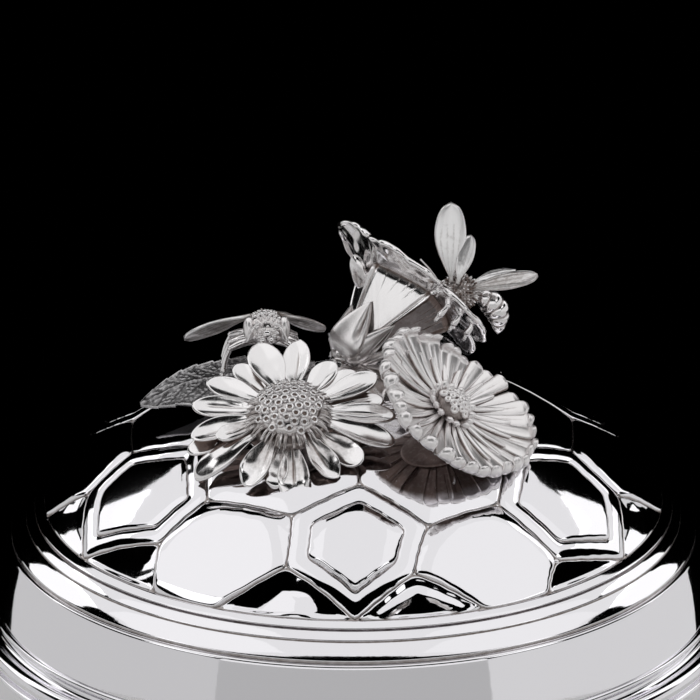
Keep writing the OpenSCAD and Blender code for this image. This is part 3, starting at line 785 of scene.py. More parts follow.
def daisy():
    e1, e2 = plane(DAISY_N)
    n = DAISY_N
    # angle, length, half width, spoon depth, lift of the tip, sideways bend, fold, crumple
    upper = [(108, 14.9, 2.5, 0.24, 0.5, 0.2, 0, 0), (85, 14.1, 2.0, 0.30, 0.6, 0.1, 1, 0), (30, 14.4, 1.95, 0.28, 0.2, 0.2, 1, 0), (2, 15.0, 1.9, 0.26, 0.0, -0.2, 1, 0.04),
             (-16, 15.5, 2.05, 0.34, -0.3, -0.2, 0, 0), (-60, 12.3, 1.9, 0.28, -1.0, 0.3, 1, 0.28), (-121, 12.8, 2.1, 0.42, -1.3, 0.2, 0, 0.26), (-162, 11.2, 1.5, 0.2, 0.5, 0.2, 1, 0.20),
             (-172, 14.4, 2.0, 0.36, -0.2, 0.3, 1, 0), (168, 14.4, 1.9, 0.34, 0.0, -0.2, 1, 0), (147, 13.9, 1.95, 0.32, 0.3, 0.2, 0, 0)]
    lower = [(126, 13.4, 1.8, 0.25, 0.3, 0.0, 0, 0), (60, 12.3, 1.9, 0.3, 0.3, 0.1, 0, 0), (45, 12.8, 1.8, 0.3, 0.2, -0.2, 0, 0), (15, 13.8, 1.85, 0.25, 0.0, 0.2, 1, 0),
             (-38, 12.8, 2.25, 0.50, -0.3, 0.0, 0, 0.12), (-87, 13.2, 2.3, 0.42, -1.3, -0.2, 1, 0.40), (-104, 11.8, 1.8, 0.3, -1.0, 0.2, 0, 0.34), (-153, 15.6, 2.1, -0.30, -1.9, 0.2, 0, 0.05),
             (-166, 15.2, 1.8, 0.2, -1.0, 0.0, 0, 0)]
    r = np.random.RandomState(21)

    def whorl(rows, drop, r0, name, node, seed):
        s = Shape()
        lump = wobble(seed, 9, 0.9, 2.6)
        for ang, r1, W, depth, lift, side, fold, crump in rows:
            ph = math.radians(ang)
            d, w = math.cos(ph) * e1 + math.sin(ph) * e2, -math.sin(ph) * e1 + math.cos(ph) * e2
            x = np.linspace(0, 1, 36)
            x = 1 - (1 - x) ** 1.6
            t = np.sin(np.linspace(-pi / 2, pi / 2, 27))
            X, T = np.meshgrid(x, t, indexing="ij")
            pk = r.uniform(0.60, 0.66)
            end = np.clip((X - pk) / (1 - pk), 0, 1)
            hw = W * np.where(X < pk, 0.30 + 0.70 * step(-0.05, pk, X), np.sqrt(np.clip(1 - end**2, 0.0009, 1)))
            # how far out in the petal's own outline, 1 on the edge
            S2 = np.where(X < pk, T**2 * hw / W, (hw * T / W) ** 2 + end**2)
            E = np.where(X < pk, T**2, (hw * T / W) ** 2 + end**2)
            rho = r0 + (r1 - r0) * X
            body = step(0.02, 0.3, X)
            spoon = depth * W * (S2 - 0.75) * step(0.0, 0.4, X)
            lip = -0.20 * np.clip((E - 0.80) / 0.20, 0, 1) ** 2
            a, b = r.uniform(-0.12, 0.12), r.uniform(0.30, 0.5)
            lines = -0.11 * (np.exp(-((T - a - 0.34) / 0.07) ** 2) + np.exp(-((T - a + 0.36) / 0.07) ** 2)) * step(0.0, 0.08, X) * step(b + 0.12, b - 0.1, X)
            if fold:
                g = a + r.uniform(-0.15, 0.15)
                lines = lines - 0.20 * np.exp(-((T - g) / 0.085) ** 2) * step(0.05, 0.2, X) * step(0.90, 0.66, X)
                lines = lines + 0.10 * np.exp(-((T - g - 0.2) / 0.12) ** 2) * step(0.05, 0.2, X) * step(0.92, 0.66, X)
            h = -rho**2 / 130.0 + drop + spoon + lip + lines + lift * X**2.2 + r.uniform(-0.2, 0.2) * X**3
            h = h + r.uniform(-0.10, 0.10) * T * W * X
            top = DAISY_P + rho[..., None] * d + (hw * T + side * X**2 * 1.5)[..., None] * w + h[..., None] * n
            k = (0.012 + crump * step(0.35, 0.85, X)) * lump(top)
            top = top + k[..., None] * n + (0.5 * crump * step(0.5, 1.0, X) * lump(top + 7.0))[..., None] * w
            th = 0.58 * (1 - 0.62 * np.clip(E, 0, 1) ** 3) * (1 - 0.3 * step(0.8, 1, X))
            bot = top - th[..., None] * n
            # crumpled, drooping petals get darker from the base to near the tip: painted shade; the lines and petal
            # bases carry oxide
            oxide_and_shade = np.clip(-3.6 * lines, 0, 0.9) + 0.9 * step(0.22, 0.0, X) + (0.42 * step(0.95, 0.5, X) if crump > 0.1 else 0.0)
            s.sheet(top, bot, oxide_and_shade, 1.0)
        # the ring that holds the petals together under the button
        an = np.linspace(0, 2 * pi, 64, endpoint=False)
        g = []
        for rr, hh in ((0.6, -0.15), (3.0, -0.15), (5.2, -0.2), (5.9, -0.45), (5.4, -0.75), (3.0, -0.85), (0.6, -0.85)):
            g.append(DAISY_P + rr * (np.cos(an)[:, None] * e1 + np.sin(an)[:, None] * e2) + (hh + drop - rr * rr / 130) * n)
        s.rings(np.array(g), 0.8)
        s.make(name, CAST, "lid", node, "cast_silver")

    whorl(upper, 0.62, 4.2, "daisy_petals_upper", "daisy_inner_petals", 31)
    whorl(lower, -0.18, 4.2, "daisy_petals_lower", "daisy_outer_petals", 32)

    # button: a low dome of cast florets, each a small ring round its pit, and a fringe below
    s = Shape()
    an = np.linspace(0, 2 * pi, 72, endpoint=False)
    g = []
    for w in np.radians([-12, 0, 12, 25, 40, 55, 70, 82]):
        g.append(DAISY_P + 4.65 * math.cos(w) * (np.cos(an)[:, None] * e1 + np.sin(an)[:, None] * e2) + (0.9 + 2.0 * math.sin(w)) * n)
    s.rings(np.array(g), 0.45)
    gold = pi * (3 - math.sqrt(5))
    K = 47
    tw = np.linspace(0, 2 * pi, 18, endpoint=False)
    for i in range(K):
        rr = 4.8 * math.sqrt((i + 0.4) / K)
        w = i * gold
        hh = 0.95 + 2.1 * math.sqrt(max(0, 1 - (rr / 5.0) ** 2))
        d = math.cos(w) * e1 + math.sin(w) * e2
        c = DAISY_P + rr * d + hh * n
        a1, a2, a3 = along(unit(0.75 * d * (rr / 5) + n))
        q = r.uniform(0.94, 1.06)
        s.ball(c - 0.34 * a3, np.array([a1, a2, a3]), (0.60 * q, 0.60 * q, 0.46), 16, 9, 0.0)
        s.loop_tube(c + 0.18 * a3 + 0.45 * q * (np.cos(tw)[:, None] * a1 + np.sin(tw)[:, None] * a2), 0.165 * q, 9, 0.0)
        s.ball(c - 0.02 * a3, np.array([a1, a2, a3]), (0.44, 0.44, 0.14), 14, 6, 0.9)
    for i in range(78):
        w = 2 * pi * i / 78 + r.uniform(-0.05, 0.05)
        d = math.cos(w) * e1 + math.sin(w) * e2
        near = step(0.2, -0.6, math.sin(w))
        l = r.uniform(5.5, 6.2) + 1.0 * near * r.rand()
        a = DAISY_P + 4.3 * d + 1.1 * n
        b = DAISY_P + l * d + r.uniform(0.35, 0.85) * n + r.uniform(-0.3, 0.3) * (-math.sin(w) * e1 + math.cos(w) * e2)
        s.tube(curve([a, 0.5 * (a + b) + 0.3 * n, b], 6), [0.26, 0.26, 0.23, 0.2, 0.17, 0.14], 7, 0.35 + 0.35 * r.rand())
    s.make("daisy_button_beaded", CAST, "lid", "daisy_button", "cast_silver")
    stem("daisy_stem_cast", "daisy_stem", DAISY_P - 1.7 * n, [-4.2, -5.2, ZA + 1.2], 1.3, 0.4)


daisy()


def aster():
    n = ASTER_N
    e1 = unit([0.72, -0.236, -0.649])
    e1 = unit(e1 - np.dot(e1, n) * n)
    e2 = np.cross(n, e1)
    r = np.random.RandomState(8)

    def cupz(rho):
        return 36 - np.sqrt(36**2 - rho**2)

    def whorl(count, r0, r1, W, lift, turn, roll_min, roll_max, seed, thin=0.0):
        s = Shape()
        lump = wobble(seed, 8, 0.8, 2.6)
        for i in range(count):
            deg = 360.0 * (i + turn) / count + r.uniform(-1.8, 1.8)
            ph = math.radians(deg)
            d, w = math.cos(ph) * e1 + math.sin(ph) * e2, -math.sin(ph) * e1 + math.cos(ph) * e2
            x = np.linspace(0, 1, 32)
            t = np.sin(np.linspace(-pi / 2, pi / 2, 15))
            X, T = np.meshgrid(x, t, indexing="ij")
            R1 = r1 * r.uniform(0.965, 1.015) * (1 - 0.24 * math.exp(-((((deg - 118 + 180) % 360 - 180) / 36.0) ** 2)))
            s1, s2 = np.clip(X / 0.72, 0, 1), np.clip((X - 0.72) / 0.28, 0, 1)
            rho = r0 + (R1 - r0) * s1
            hw = W * (0.36 + 0.64 * s1**0.9) * np.sqrt(1 - 0.66 * s2**2.4) * (1 - thin * s1**2) * (1 - 0.12 * step(0.0, 0.4, s2))
            lay = lift * (1 - 0.85 * thin * s1) + (0.22 if i % 2 else 0.0) + r.uniform(-0.06, 0.06)
            # the tip rolls over inwards, least on the upper right
            away = abs((deg - 80 + 180) % 360 - 180)
            roll = math.radians(roll_max - (roll_max - roll_min) * math.exp(-((away / 48.0) ** 2))) * r.uniform(0.8, 1.1)
            m = math.asin(R1 / 36)
            ra = 0.66
            psi = s2 * roll
            out_ = ra * (np.sin(psi) * math.cos(m) - (1 - np.cos(psi)) * math.sin(m))
            up_ = ra * (np.sin(psi) * math.sin(m) + (1 - np.cos(psi)) * math.cos(m))
            flat = step(0.02, 0.2, X)
            edge_ = np.clip((np.abs(T) - 0.78) / 0.22, 0, 1) ** 2
            chan = (0.20 * (1 - T**2) - 0.22 * edge_) * flat
            line = -0.10 * np.exp(-((T - r.uniform(-0.25, 0.25)) / 0.10) ** 2) * step(0.0, 0.15, X) * step(0.8, 0.55, X)
            h = cupz(rho) + lay + up_ + (chan + line) * np.cos(psi) + r.uniform(-0.22, 0.22) * s1**2
            rho = rho + out_ - (chan + line) * np.sin(psi)
            h = h + r.uniform(-0.12, 0.12) * T * W * s1
            top = ASTER_P + rho[..., None] * d + (hw * T + r.uniform(-0.25, 0.25) * s1**2)[..., None] * w + h[..., None] * n
            top = top + 0.03 * lump(top)[..., None] * n
            th = (0.46 + 0.40 * (1 - T**2) * step(0.0, 0.3, s2)) * (1 - 0.5 * T**4)
            ny, nz = np.sin(psi + m * s1), np.cos(psi + m * s1)
            bot = top + (th * ny)[..., None] * d - (th * nz)[..., None] * n
            oxide_and_shade = np.clip(-5.0 * line, 0, 0.5) + 0.45 * step(0.22, 0.0, X) + 0.9 * step(0.80, 0.98, np.abs(T)) * step(0.95, 0.7, X)
            s.sheet(top, bot, oxide_and_shade, 0.1 + 0.9 * step(0.76, 0.60, X))
        return s

    s = whorl(34, 3.0, 12.35, 1.36, 0.0, 0.0, 35, 165, 41)
    an = np.linspace(0, 2 * pi, 96, endpoint=False)
    g = []
    for rr, hh in ((0.5, 0.12), (2.5, 0.12), (4.6, 0.1), (6.0, 0.05), (6.3, -0.15), (5.9, -0.4), (3.5, -0.35), (0.5, -0.3)):
        g.append(ASTER_P + rr * (np.cos(an)[:, None] * e1 + np.sin(an)[:, None] * e2) + (hh + cupz(rr) - 0.3) * n)
    s.rings(np.array(g), 1.0)
    s.make("aster_petals_outer", SATIN, "lid", "aster_outer_petals", "cast_silver")
    s = whorl(24, 2.2, 9.6, 0.86, 0.62, 0.5, 5, 25, 42, 0.62)
    s.make("aster_petals_inner", SATIN, "lid", "aster_inner_petals", "cast_silver")

    # button: a knob of crowded florets round their pits, in a ring of soft lobes
    s = Shape()
    ax = np.array([e1, e2, n])
    s.ball(ASTER_P + 1.3 * n, ax, (2.45, 2.45, 1.75), 32, 16, 0.8)
    gold = pi * (3 - math.sqrt(5))
    tw = np.linspace(0, 2 * pi, 16, endpoint=False)
    for i in range(19):
        rr = 2.25 * math.sqrt((i + 0.4) / 19)
        w = i * gold + 0.4
        d = math.cos(w) * e1 + math.sin(w) * e2
        hh = 1.4 + 1.75 * math.sqrt(max(0, 1 - (rr / 2.6) ** 2))
        a1, a2, a3 = along(unit(0.8 * d * (rr / 2.3) + n))
        q = r.uniform(0.85, 1.25)
        c = ASTER_P + rr * d + hh * n
        s.loop_tube(c + 0.1 * a3 + 0.36 * q * (np.cos(tw)[:, None] * a1 + np.sin(tw)[:, None] * a2), 0.25 * q, 9, 0.0)
        s.ball(c - 0.15 * a3, np.array([a1, a2, a3]), (0.55 * q, 0.55 * q, 0.4), 12, 7, 0.7)
    for i in range(15):
        w = 2 * pi * i / 15 + r.uniform(-0.08, 0.08)
        d = math.cos(w) * e1 + math.sin(w) * e2
        c = ASTER_P + r.uniform(3.0, 3.4) * d + r.uniform(1.15, 1.45) * n
        q = unit(d + 0.8 * n)
        s.ball(c, np.array([q, np.cross(n, d), np.cross(q, np.cross(n, d))]), (0.95, 0.62, 0.5), 14, 9, 0.15)
    s.make("aster_button_florets", SATIN, "lid", "aster_button", "cast_silver")
    stem("aster_stem_cast", "aster_stem", ASTER_P - 1.0 * n, [5.6, -4.6, ZA + 1.0], 1.2, 1.4)


aster()


def bell():
    e1, e2, n = along(BELL_N)
    A = 400
    al = np.linspace(0, 2 * pi, A, endpoint=False)
    deg = np.degrees(al)
    q = ((deg + 36) % 72 - 36) / 36.0
    q[np.isclose(np.abs(q), 1)] = 1.0
    lobe = (np.floor((deg + 36) / 72).astype(int)) % 5
    Q = q[None]
    # the tube: five flat petals meeting in ridges, cut off on the slant
    mouth = (10.5 + 2.0 * np.cos(np.radians(deg - 285.7)))[None]
    t = np.linspace(0, 1, 46)[:, None]
    ridge = 1.9 + 6.1 * t**1.08
    flat = ridge * math.cos(pi / 5) * (1 + 0.05 * np.sin(pi * t)) / np.cos(np.radians(36 * Q))
    k = step(0.0, 0.16, t)
    r_tube = (1 - k) * ridge * 0.95 + k * flat
    a_tube = mouth * t
    # the lip: each petal turns out in a lobe that dies away at the ridges
    s_ = np.linspace(0, 1, 24)[1:, None]
    w = 1 - np.abs(Q) ** 3
    foot = 9.1 + 2.9 * np.exp(-(((deg - 180) / 15.0) ** 2)) - 0.5 * np.exp(-(((deg - 252) / 15.0) ** 2))
    rl = np.random.RandomState(4)
    wav = rl.uniform(-0.25, 0.25, 5)[lobe][None]
    rise = np.array([0.3, 0.6, 1.6, 0.1, 0.3])[lobe][None]
    r_edge = foot[None] + (13.45 + wav - foot[None]) * w
    a_edge = mouth + 1.5 - 0.75 * w + rise * w + 0.16 * np.sin(np.radians(deg * 9 + 40))[None] * w
    r1 = r_tube[-1:]
    r_lip = r1 + (r_edge - r1) * s_
    a_lip = mouth + (a_edge - mouth) * (1 - (1 - s_) ** 1.8)
    r = np.concatenate([r_tube, r_lip])
    a_ = np.concatenate([a_tube, a_lip])
    K, KT = len(r), len(t)
    x = np.concatenate([t, 1 + s_])
    rad_dir = np.cos(al)[None, :, None] * e1 + np.sin(al)[None, :, None] * e2
    P = BELL_P + r[..., None] * rad_dir + a_[..., None] * n
    du = np.roll(P, -1, 1) - np.roll(P, 1, 1)
    dv = np.gradient(P, axis=0)
    N = np.cross(du, dv)
    N /= np.linalg.norm(N, axis=-1)[..., None]
    if (N[20] * rad_dir[0]).sum(-1).mean() < 0:
        N = -N
    on = step(0.10, 0.3, x) * step(1.75, 1.2, x)
    rib = 0.16 * np.exp(-((1 - np.abs(Q)) / 0.035) ** 2) * on
    ditch = np.exp(-((1 - np.abs(Q) - 0.085) / 0.035) ** 2) * on
    # short graver's strokes on each petal
    vein = np.zeros_like(r)
    for lb in range(5):
        here = (lobe == lb)[None]
        for v in (-0.52, -0.12, 0.22, 0.55):
            v = v + rl.uniform(-0.08, 0.08)
            mid = v + 0.05 * np.sin(7 * x + rl.uniform(0, 6)) + rl.uniform(-0.25, 0.25) * (x - 0.6)
            hi = 1.0
            lo = hi - rl.uniform(0.10, 0.48)
            vein += here * np.exp(-((Q - mid) / 0.016) ** 2) * step(lo, lo + 0.22, x) * (x <= hi) * rl.uniform(0.45, 1.0)
    lump = wobble(77, 10, 0.3, 1.2)
    crink = wobble(78, 12, 1.0, 3.0)
    groove = np.exp(-(((x - 1.0) / 0.035) ** 2))
    d = rib - 0.10 * ditch - 0.07 * vein + 0.03 * lump(P) - 0.22 * groove + 0.10 * crink(P) * step(1.05, 1.5, x)
    out = P + d[..., None] * N
    inn = P - 0.58 * N + (0.05 * crink(P) * step(1.05, 1.5, x))[..., None] * N
    # the last term darkens the outside where it faces downwards: painted shade under the bell; the ditches, veins and
    # groove carry oxide
    oxide_and_shade = np.clip(0.7 * ditch + 0.75 * vein + 0.9 * groove + 0.6 * step(0.14, 0.0, x) + 0.15 * np.clip(-crink(P), 0, 1) * step(1.02, 1.3, x) + 0.8 * step(-0.1, -0.4, N[..., 2]) * step(1.3, 1.0, x), 0, 1)
    s = Shape()
    s.rings(np.concatenate([out, inn[::-1]]), np.concatenate([oxide_and_shade, np.broadcast_to(0.45 + 0.3 * step(1.4, 0.6, x[::-1]), (K, A))]))
    # rolled, slightly hammered edge of the lip
    rim = 0.5 * (out[-1] + inn[-1])
    s.loop_tube(rim, 0.42 + 0.07 * np.sin(al * 13) + 0.06 * np.sin(al * 31 + 1), 10, 0.0)
    # small lobe turned back against the left side
    s.ball(np.array([0.75, 8.9, 118.3]), np.array(facing([0.22, -0.16, -0.96], [-0.55, -0.70, 0.45])), (2.75, 1.35, 0.75), 36, 24, 0.3)
    s.make("bell_flower_lobed", CAST, "lid", "bell_flower", "cast_silver", sharp=38)

    # calyx: knob and five swollen, pear-shaped sepals
    s = Shape()
    s.ball(BELL_P - 1.3 * n, np.array([e1, e2, n]), (2.2, 2.2, 2.1), 28, 18, 0.55)
    for i, dg in enumerate((200, 257, 329, 41, 113)):
        w = math.radians(dg)
        d = math.cos(w) * e1 + math.sin(w) * e2
        tn = -math.sin(w) * e1 + math.cos(w) * e2
        path = curve([(0.7, -2.3), (2.1, -0.8), (3.0, 1.1), (4.0, 3.4), (5.0, 5.8)], 36)
        tan = np.gradient(path, axis=0)
        tan /= np.linalg.norm(tan, axis=1)[:, None]
        nor = np.stack([tan[:, 1], -tan[:, 0]], -1)
        x = np.linspace(0, 1, 36)
        t = np.sin(np.linspace(-pi / 2, pi / 2, 23))
        W = (3.0 if i == 0 else 1.9) * np.clip(np.sin(pi * np.clip(x * 0.985 + 0.012, 0, 1) ** 0.58), 0.02, 1) ** 0.85
        X, T = np.meshgrid(x, t, indexing="ij")
        bulge = (0.62 if i == 0 else 1.15) * np.sqrt(np.clip(1 - T**2, 0, 1)) * (W[:, None] / 2.1)
        fold = -0.45 * np.exp(-((T - 0.56) / 0.11) ** 2) * step(0.35, 0.6, X) * step(1.0, 0.85, X)
        fold = fold + 0.12 * np.exp(-((T - 0.80) / 0.10) ** 2) * step(0.35, 0.6, X) * step(1.0, 0.85, X)
        up = bulge + fold + 0.12
        c0 = BELL_P + path[:, None, :1] * d + path[:, None, 1:] * n
        nn = nor[:, None, :1] * d + nor[:, None, 1:] * n
        top = c0 + (W[:, None] * t[None])[..., None] * tn + up[..., None] * nn
        bot = c0 + (W[:, None] * t[None])[..., None] * tn - 0.25 * nn
        s.sheet(top, bot, 0.9 * np.exp(-((T - 0.58) / 0.13) ** 2) * step(0.3, 0.55, X) + 0.5 * step(0.86, 1.0, np.abs(T)), 0.7)
        # small bead at the foot of each sepal
        s.ball(BELL_P + 1.25 * d - 2.35 * n, np.array([d, tn, n]), (0.75, 0.85, 0.72), 14, 9, 0.1)
    s.make("bell_calyx_sepals", SATIN, "lid", "bell_calyx", "cast_silver", sharp=70)

    # pistil with a three-part stigma, and stamens
    s = Shape()
    s.tube(curve([BELL_P + 1.4 * n, BELL_P + 6 * n + 0.1 * e1, BELL_P + 10.6 * n], 14), np.linspace(0.55, 0.42, 14), 12, 0.3)
    for i in range(3):
        w = 2.1 * i
        s.ball(BELL_P + 11 * n + 0.45 * (math.cos(w) * e1 + math.sin(w) * e2), np.array([e1, e2, n]), (0.62, 0.62, 0.8), 14, 10, 0.1)
    for i in range(5):
        w = 2 * pi * i / 5 + 0.3
        d = math.cos(w) * e1 + math.sin(w) * e2
        p = curve([BELL_P + 1.5 * n + 0.6 * d, BELL_P + 5 * n + 1.3 * d, BELL_P + 8.2 * n + 2.2 * d], 10)
        s.tube(p, 0.2, 8, 0.3)
        s.ball(p[-1], np.array([d, np.cross(n, d), n]), (0.4, 0.32, 0.7), 10, 8, 0.1)
    s.make("bell_pistil_stamens", CAST, "lid", "bell_pistil", "cast_silver")
    stem("bell_stem_cast", "bell_stem", BELL_P - 2.2 * n, [-2.2, 1.6, ZA + 1.4], 1.4, 2.2)


bell()

# ---------------------------------------------------------------- leaves


def leaf(name, node, root, tip, up, W, f, bend, seed, pebble, back):
    root, tip = np.asarray(root, float), np.asarray(tip, float)
    L = np.linalg.norm(tip - root)
    ex, ey, ez = facing(tip - root, up)
    x = np.linspace(0, 1, 220)
    t = np.linspace(-1, 1, 105)
    X, T = np.meshgrid(x, t, indexing="ij")
    pw = np.log(0.5) / np.log(f)
    hw = W * np.clip(np.sin(pi * np.clip(X, 0.004, 0.996) ** pw), 0.01, 1) ** 0.8
    # toothed margin
    saw = (X * 11) % 1.0
    hw = hw * (1 - 0.10 * saw * step(0.06, 0.2, X) * np.abs(T) ** 3)
    hw = hw * np.where(T < 0, back, 1.0)
    y = hw * T
    xc = X * L
    z = np.sqrt(np.maximum(1, (bend + 0.7) ** 2 - (xc - L / 2) ** 2)) - bend
    z = z + 0.05 * np.abs(y) * np.abs(T) - 0.06 * y * T
    lump = wobble(seed, 10, 0.25, 0.9)
    fine = wobble(seed + 1, 36, 7.5, 12.5)
    P2 = np.stack([xc, y, 0 * y], -1)
    rib = 0.28 * np.exp(-(y / 0.34) ** 2) * step(1.0, 0.8, X)
    # side veins run forward from the rib
    ph = (xc - 1.15 * np.abs(y)) / (L / 9.0)
    vein = np.exp(-(((ph % 1.0) - 0.5) / 0.075) ** 2) * step(0.02, 0.12, np.abs(T)) * step(1.0, 0.85, np.abs(T))
    peb = np.clip(fine(P2), -0.2, 1.2) * step(0.97, 0.86, np.abs(T)) * step(0.98, 0.9, X)
    h = rib - 0.14 * vein + pebble * peb + 0.35 * lump(P2)
    edge = 0.14 * step(0.84, 0.95, np.abs(T))
    h = h + edge
    top = root + xc[..., None] * ex + y[..., None] * ey + (z + h)[..., None] * ez
    th = 0.65 * (1 - 0.5 * np.abs(T) ** 4)
    bot = root + xc[..., None] * ex + y[..., None] * ey + (z + 0.35 * lump(P2) - th)[..., None] * ez
    oxide_and_shade = np.clip((0.34 + 0.45 * vein + 0.30 * step(0.35, -0.1, fine(P2))) * step(0.97, 0.86, np.abs(T)) + 0.35 * np.exp(-((np.abs(y) - 0.55) / 0.2) ** 2), 0, 1)
    Shape().sheet(top, bot, oxide_and_shade, 0.45).make(name, MATTED_SHADED, "lid", node, "cast_silver")


leaf("leaf_left_pebbled", "left_leaf", [-5.6, 3.4, ZA + 2.1], [-30.7, -0.5, ZA - 1.9], [-0.1, -0.25, 1], 6.6, 0.55, 60, 51, 0.045, 0.66)
leaf("leaf_back_veined", "back_leaf", [0.6, 6.2, ZA + 1.9], [5, 29.5, ZA - 2.8], [0, 0.1, 1], 6.4, 0.5, 55, 53, 0.04, 1.0)

# ---------------------------------------------------------------- bees


def bee(side, p, u, up, wings, legs, seed, head, head_r, belly, belly_r, feelers, coat):
    p = np.asarray(p, float)
    X, Y, Z = facing(u, up)
    A = np.array([X, Y, Z])
    r = np.random.RandomState(seed)
    gold = pi * (3 - math.sqrt(5))

    def at(q):
        return p + np.asarray(q, float) @ A

    def tufts(c, rad, count, tr, tl, keep, oxide_and_shade):
        rad = np.asarray(rad, float)
        for i in range(count):
            cz = 1 - 2 * (i + 0.5) / count
            rr = math.sqrt(1 - cz * cz)
            d = np.array([rr * math.cos(i * gold), rr * math.sin(i * gold), cz])
            if not keep(d):
                continue
            qq = unit(d + np.array([-0.35, 0, 0.1]) + r.uniform(-0.3, 0.3, 3))
            a1, a2, a3 = along(qq @ A)
            l = tl * r.uniform(0.7, 1.3)
            s.ball(c + (d * rad + qq * l * 0.25) @ A, np.array([a1, a2, a3]), (tr, tr, l), 7, 5, oxide_and_shade * r.rand())

    s, eyes = Shape(), Shape()
    # head: a hairy face between two smooth eyes, with jaws below
    h = at(head)
    hx, hy, hz = head_r
    s.ball(h, A, (hx, hy * 0.92, hz), 28, 18, 0.45)
    for e in (-1, 1):
        eyes.ball(h + np.array([0.22 * hx, 0.84 * hy * e, 0.08 * hz]) @ A, A, (0.66 * hx, 0.28 * hy, 0.80 * hz), 26, 18, 0.0)
        s.ball(h + np.array([0.88 * hx, 0.20 * hy * e, -0.62 * hz]) @ A, A, (0.30 * hx, 0.16 * hy, 0.24 * hz), 12, 9, 0.0)
        s.ball(h + np.array([0.86 * hx, 0.36 * hy * e, -0.38 * hz]) @ A, A, (0.22 * hx, 0.10 * hy, 0.2 * hz), 10, 8, 0.1)
    s.ball(h + np.array([0.95 * hx, 0, -0.2 * hz]) @ A, A, (0.22 * hx, 0.24 * hy, 0.26 * hz), 14, 10, 0.1)
    tufts(h, (hx, 0.85 * hy, hz), int(150 * coat), 0.085 * hy, 0.12 * hy, lambda d: d[0] > -0.4 and abs(d[1]) < 0.66 and d[2] > -0.65, 0.3)
    for f in feelers:
        s.tube(curve([at(v) for v in f], 20), np.linspace(0.20, 0.13, 20), 8, 0.1)
    # thorax: coat of tufts over a core
    s.ball(p, A, (2.4, 2.3, 2.15), 28, 18, 0.8)
    tufts(p, (2.4, 2.3, 2.15), int(330 * coat), 0.17, 0.42, lambda d: d[2] > -0.8, 0.7 if coat == 1 else 1.3)
    # waist and abdomen: overlapping swollen plates on a curved line
    path = curve([at(v) for v in belly], 100)
    s.ball(0.5 * (p + path[0]), A, (1.2, 1.0, 1.0), 16, 12, 0.7)
    xs = np.clip(np.linspace(0, 1, 100), 0.008, 0.992)
    sg = (xs * 5.0) % 1.0
    R = belly_r * np.sin(pi * xs**0.80) ** 0.60 * (0.84 + 0.20 * np.sin(pi * np.clip(sg, 0, 1)) ** 0.55)
    cv = 0.9 * np.exp(-(sg / 0.09) ** 2) + 0.9 * np.exp(-((1 - sg) / 0.07) ** 2)
    s.tube(path, R, 40, np.broadcast_to(cv[:, None], (100, 40)), round_ends=False, up=Z)
    eyes.make("bee_%s_eyes" % side, SATIN, "lid", None, "cast_silver")
    s.make("bee_%s_body_furred" % side, CAST, "lid", "%s_bee_body" % side, "cast_silver")

    s = Shape()
    for root, d, nn, l, wd, vs in wings:
        ex, ey, ez = facing(d, nn)
        c = p + np.asarray(root, float)
        x = np.linspace(0, 1, 50)
        x = 1 - (1 - x) ** 1.25
        t = np.sin(np.linspace(-pi / 2, pi / 2, 33))
        U, T = np.meshgrid(x, t, indexing="ij")
        pw = math.log(0.5) / math.log(0.60)
        hw = wd * np.maximum(0.34 / wd * (1 - 0.6 * U), np.clip(np.sin(pi * np.clip(U, 0.003, 0.997) ** pw), 0.012, 1) ** (0.82 - 0.36 * step(0.5, 0.85, U)))
        hw = np.where(U > 0.93, hw * np.sqrt(np.clip(1 - ((U - 0.93) / 0.07) ** 2 * 0.98, 0.0004, 1)), hw)
        y = hw * T + 0.06 * l * U * (1 - U)
        camber = 0.30 * (1 - T**2) * step(0, 0.4, U) - (2.2 * U**1.3 if vs < 0.5 else 0.4 * U**1.6)
        veins = np.zeros_like(U)
        for v0, v1, lo, hi in ((0.75, 0.5, 0, 0.93), (0.30, 0.18, 0.05, 0.9), (-0.1, -0.25, 0.1, 0.85), (-0.5, -0.62, 0.15, 0.75)):
            veins += np.exp(-((T - (v0 + (v1 - v0) * U)) / 0.07) ** 2) * step(lo, lo + 0.08, U) * step(hi, hi - 0.12, U)
        for u0, ta, tb in ((0.42, -0.3, 0.7), (0.58, -0.4, 0.2), (0.7, 0.1, 0.6)):
            veins += 0.7 * np.exp(-((U - u0 - 0.08 * T) / 0.02) ** 2) * step(ta - 0.05, ta + 0.05, T) * step(tb + 0.05, tb - 0.05, T)
        veins = np.clip(veins, 0, 1)
        streak = np.sin(T * 31 + 5 * U + 2 * np.sin(9 * U)) * step(0.05, 0.3, U)
        lead = np.clip((T - 0.80) / 0.20, 0, 1) ** 0.7
        th = (0.26 + 0.05 * veins * vs + 0.02 * vs * streak + 0.14 * lead) * np.sqrt(np.clip(1.02 - T**6, 0.02, 1))
        mid = c + (U * l)[..., None] * ex + y[..., None] * ey + (0.35 + camber)[..., None] * ez
        # wings with strong veins (vs above 1.2) are darkened below their upper edge, which stays light: painted shade;
        # veins, streaks and the root carry oxide
        oxide_and_shade = 0.02 + (0.25 * veins * step(0.95, 0.6, U) + 0.06 * (streak > 0.6) if vs < 0.5 else vs * (0.18 * veins + 0.14 * (streak > 0.5))) + 0.5 * step(0.25, 0.0, U) + (0.35 * step(0.9, 0.6, T) if vs > 1.2 else 0.0)
        s.sheet(mid + th[..., None] * ez, mid - th[..., None] * ez, oxide_and_shade, oxide_and_shade)
    s.make("bee_%s_wings_veined" % side, WING, "lid", "%s_bee_wings" % side, "cast_silver")

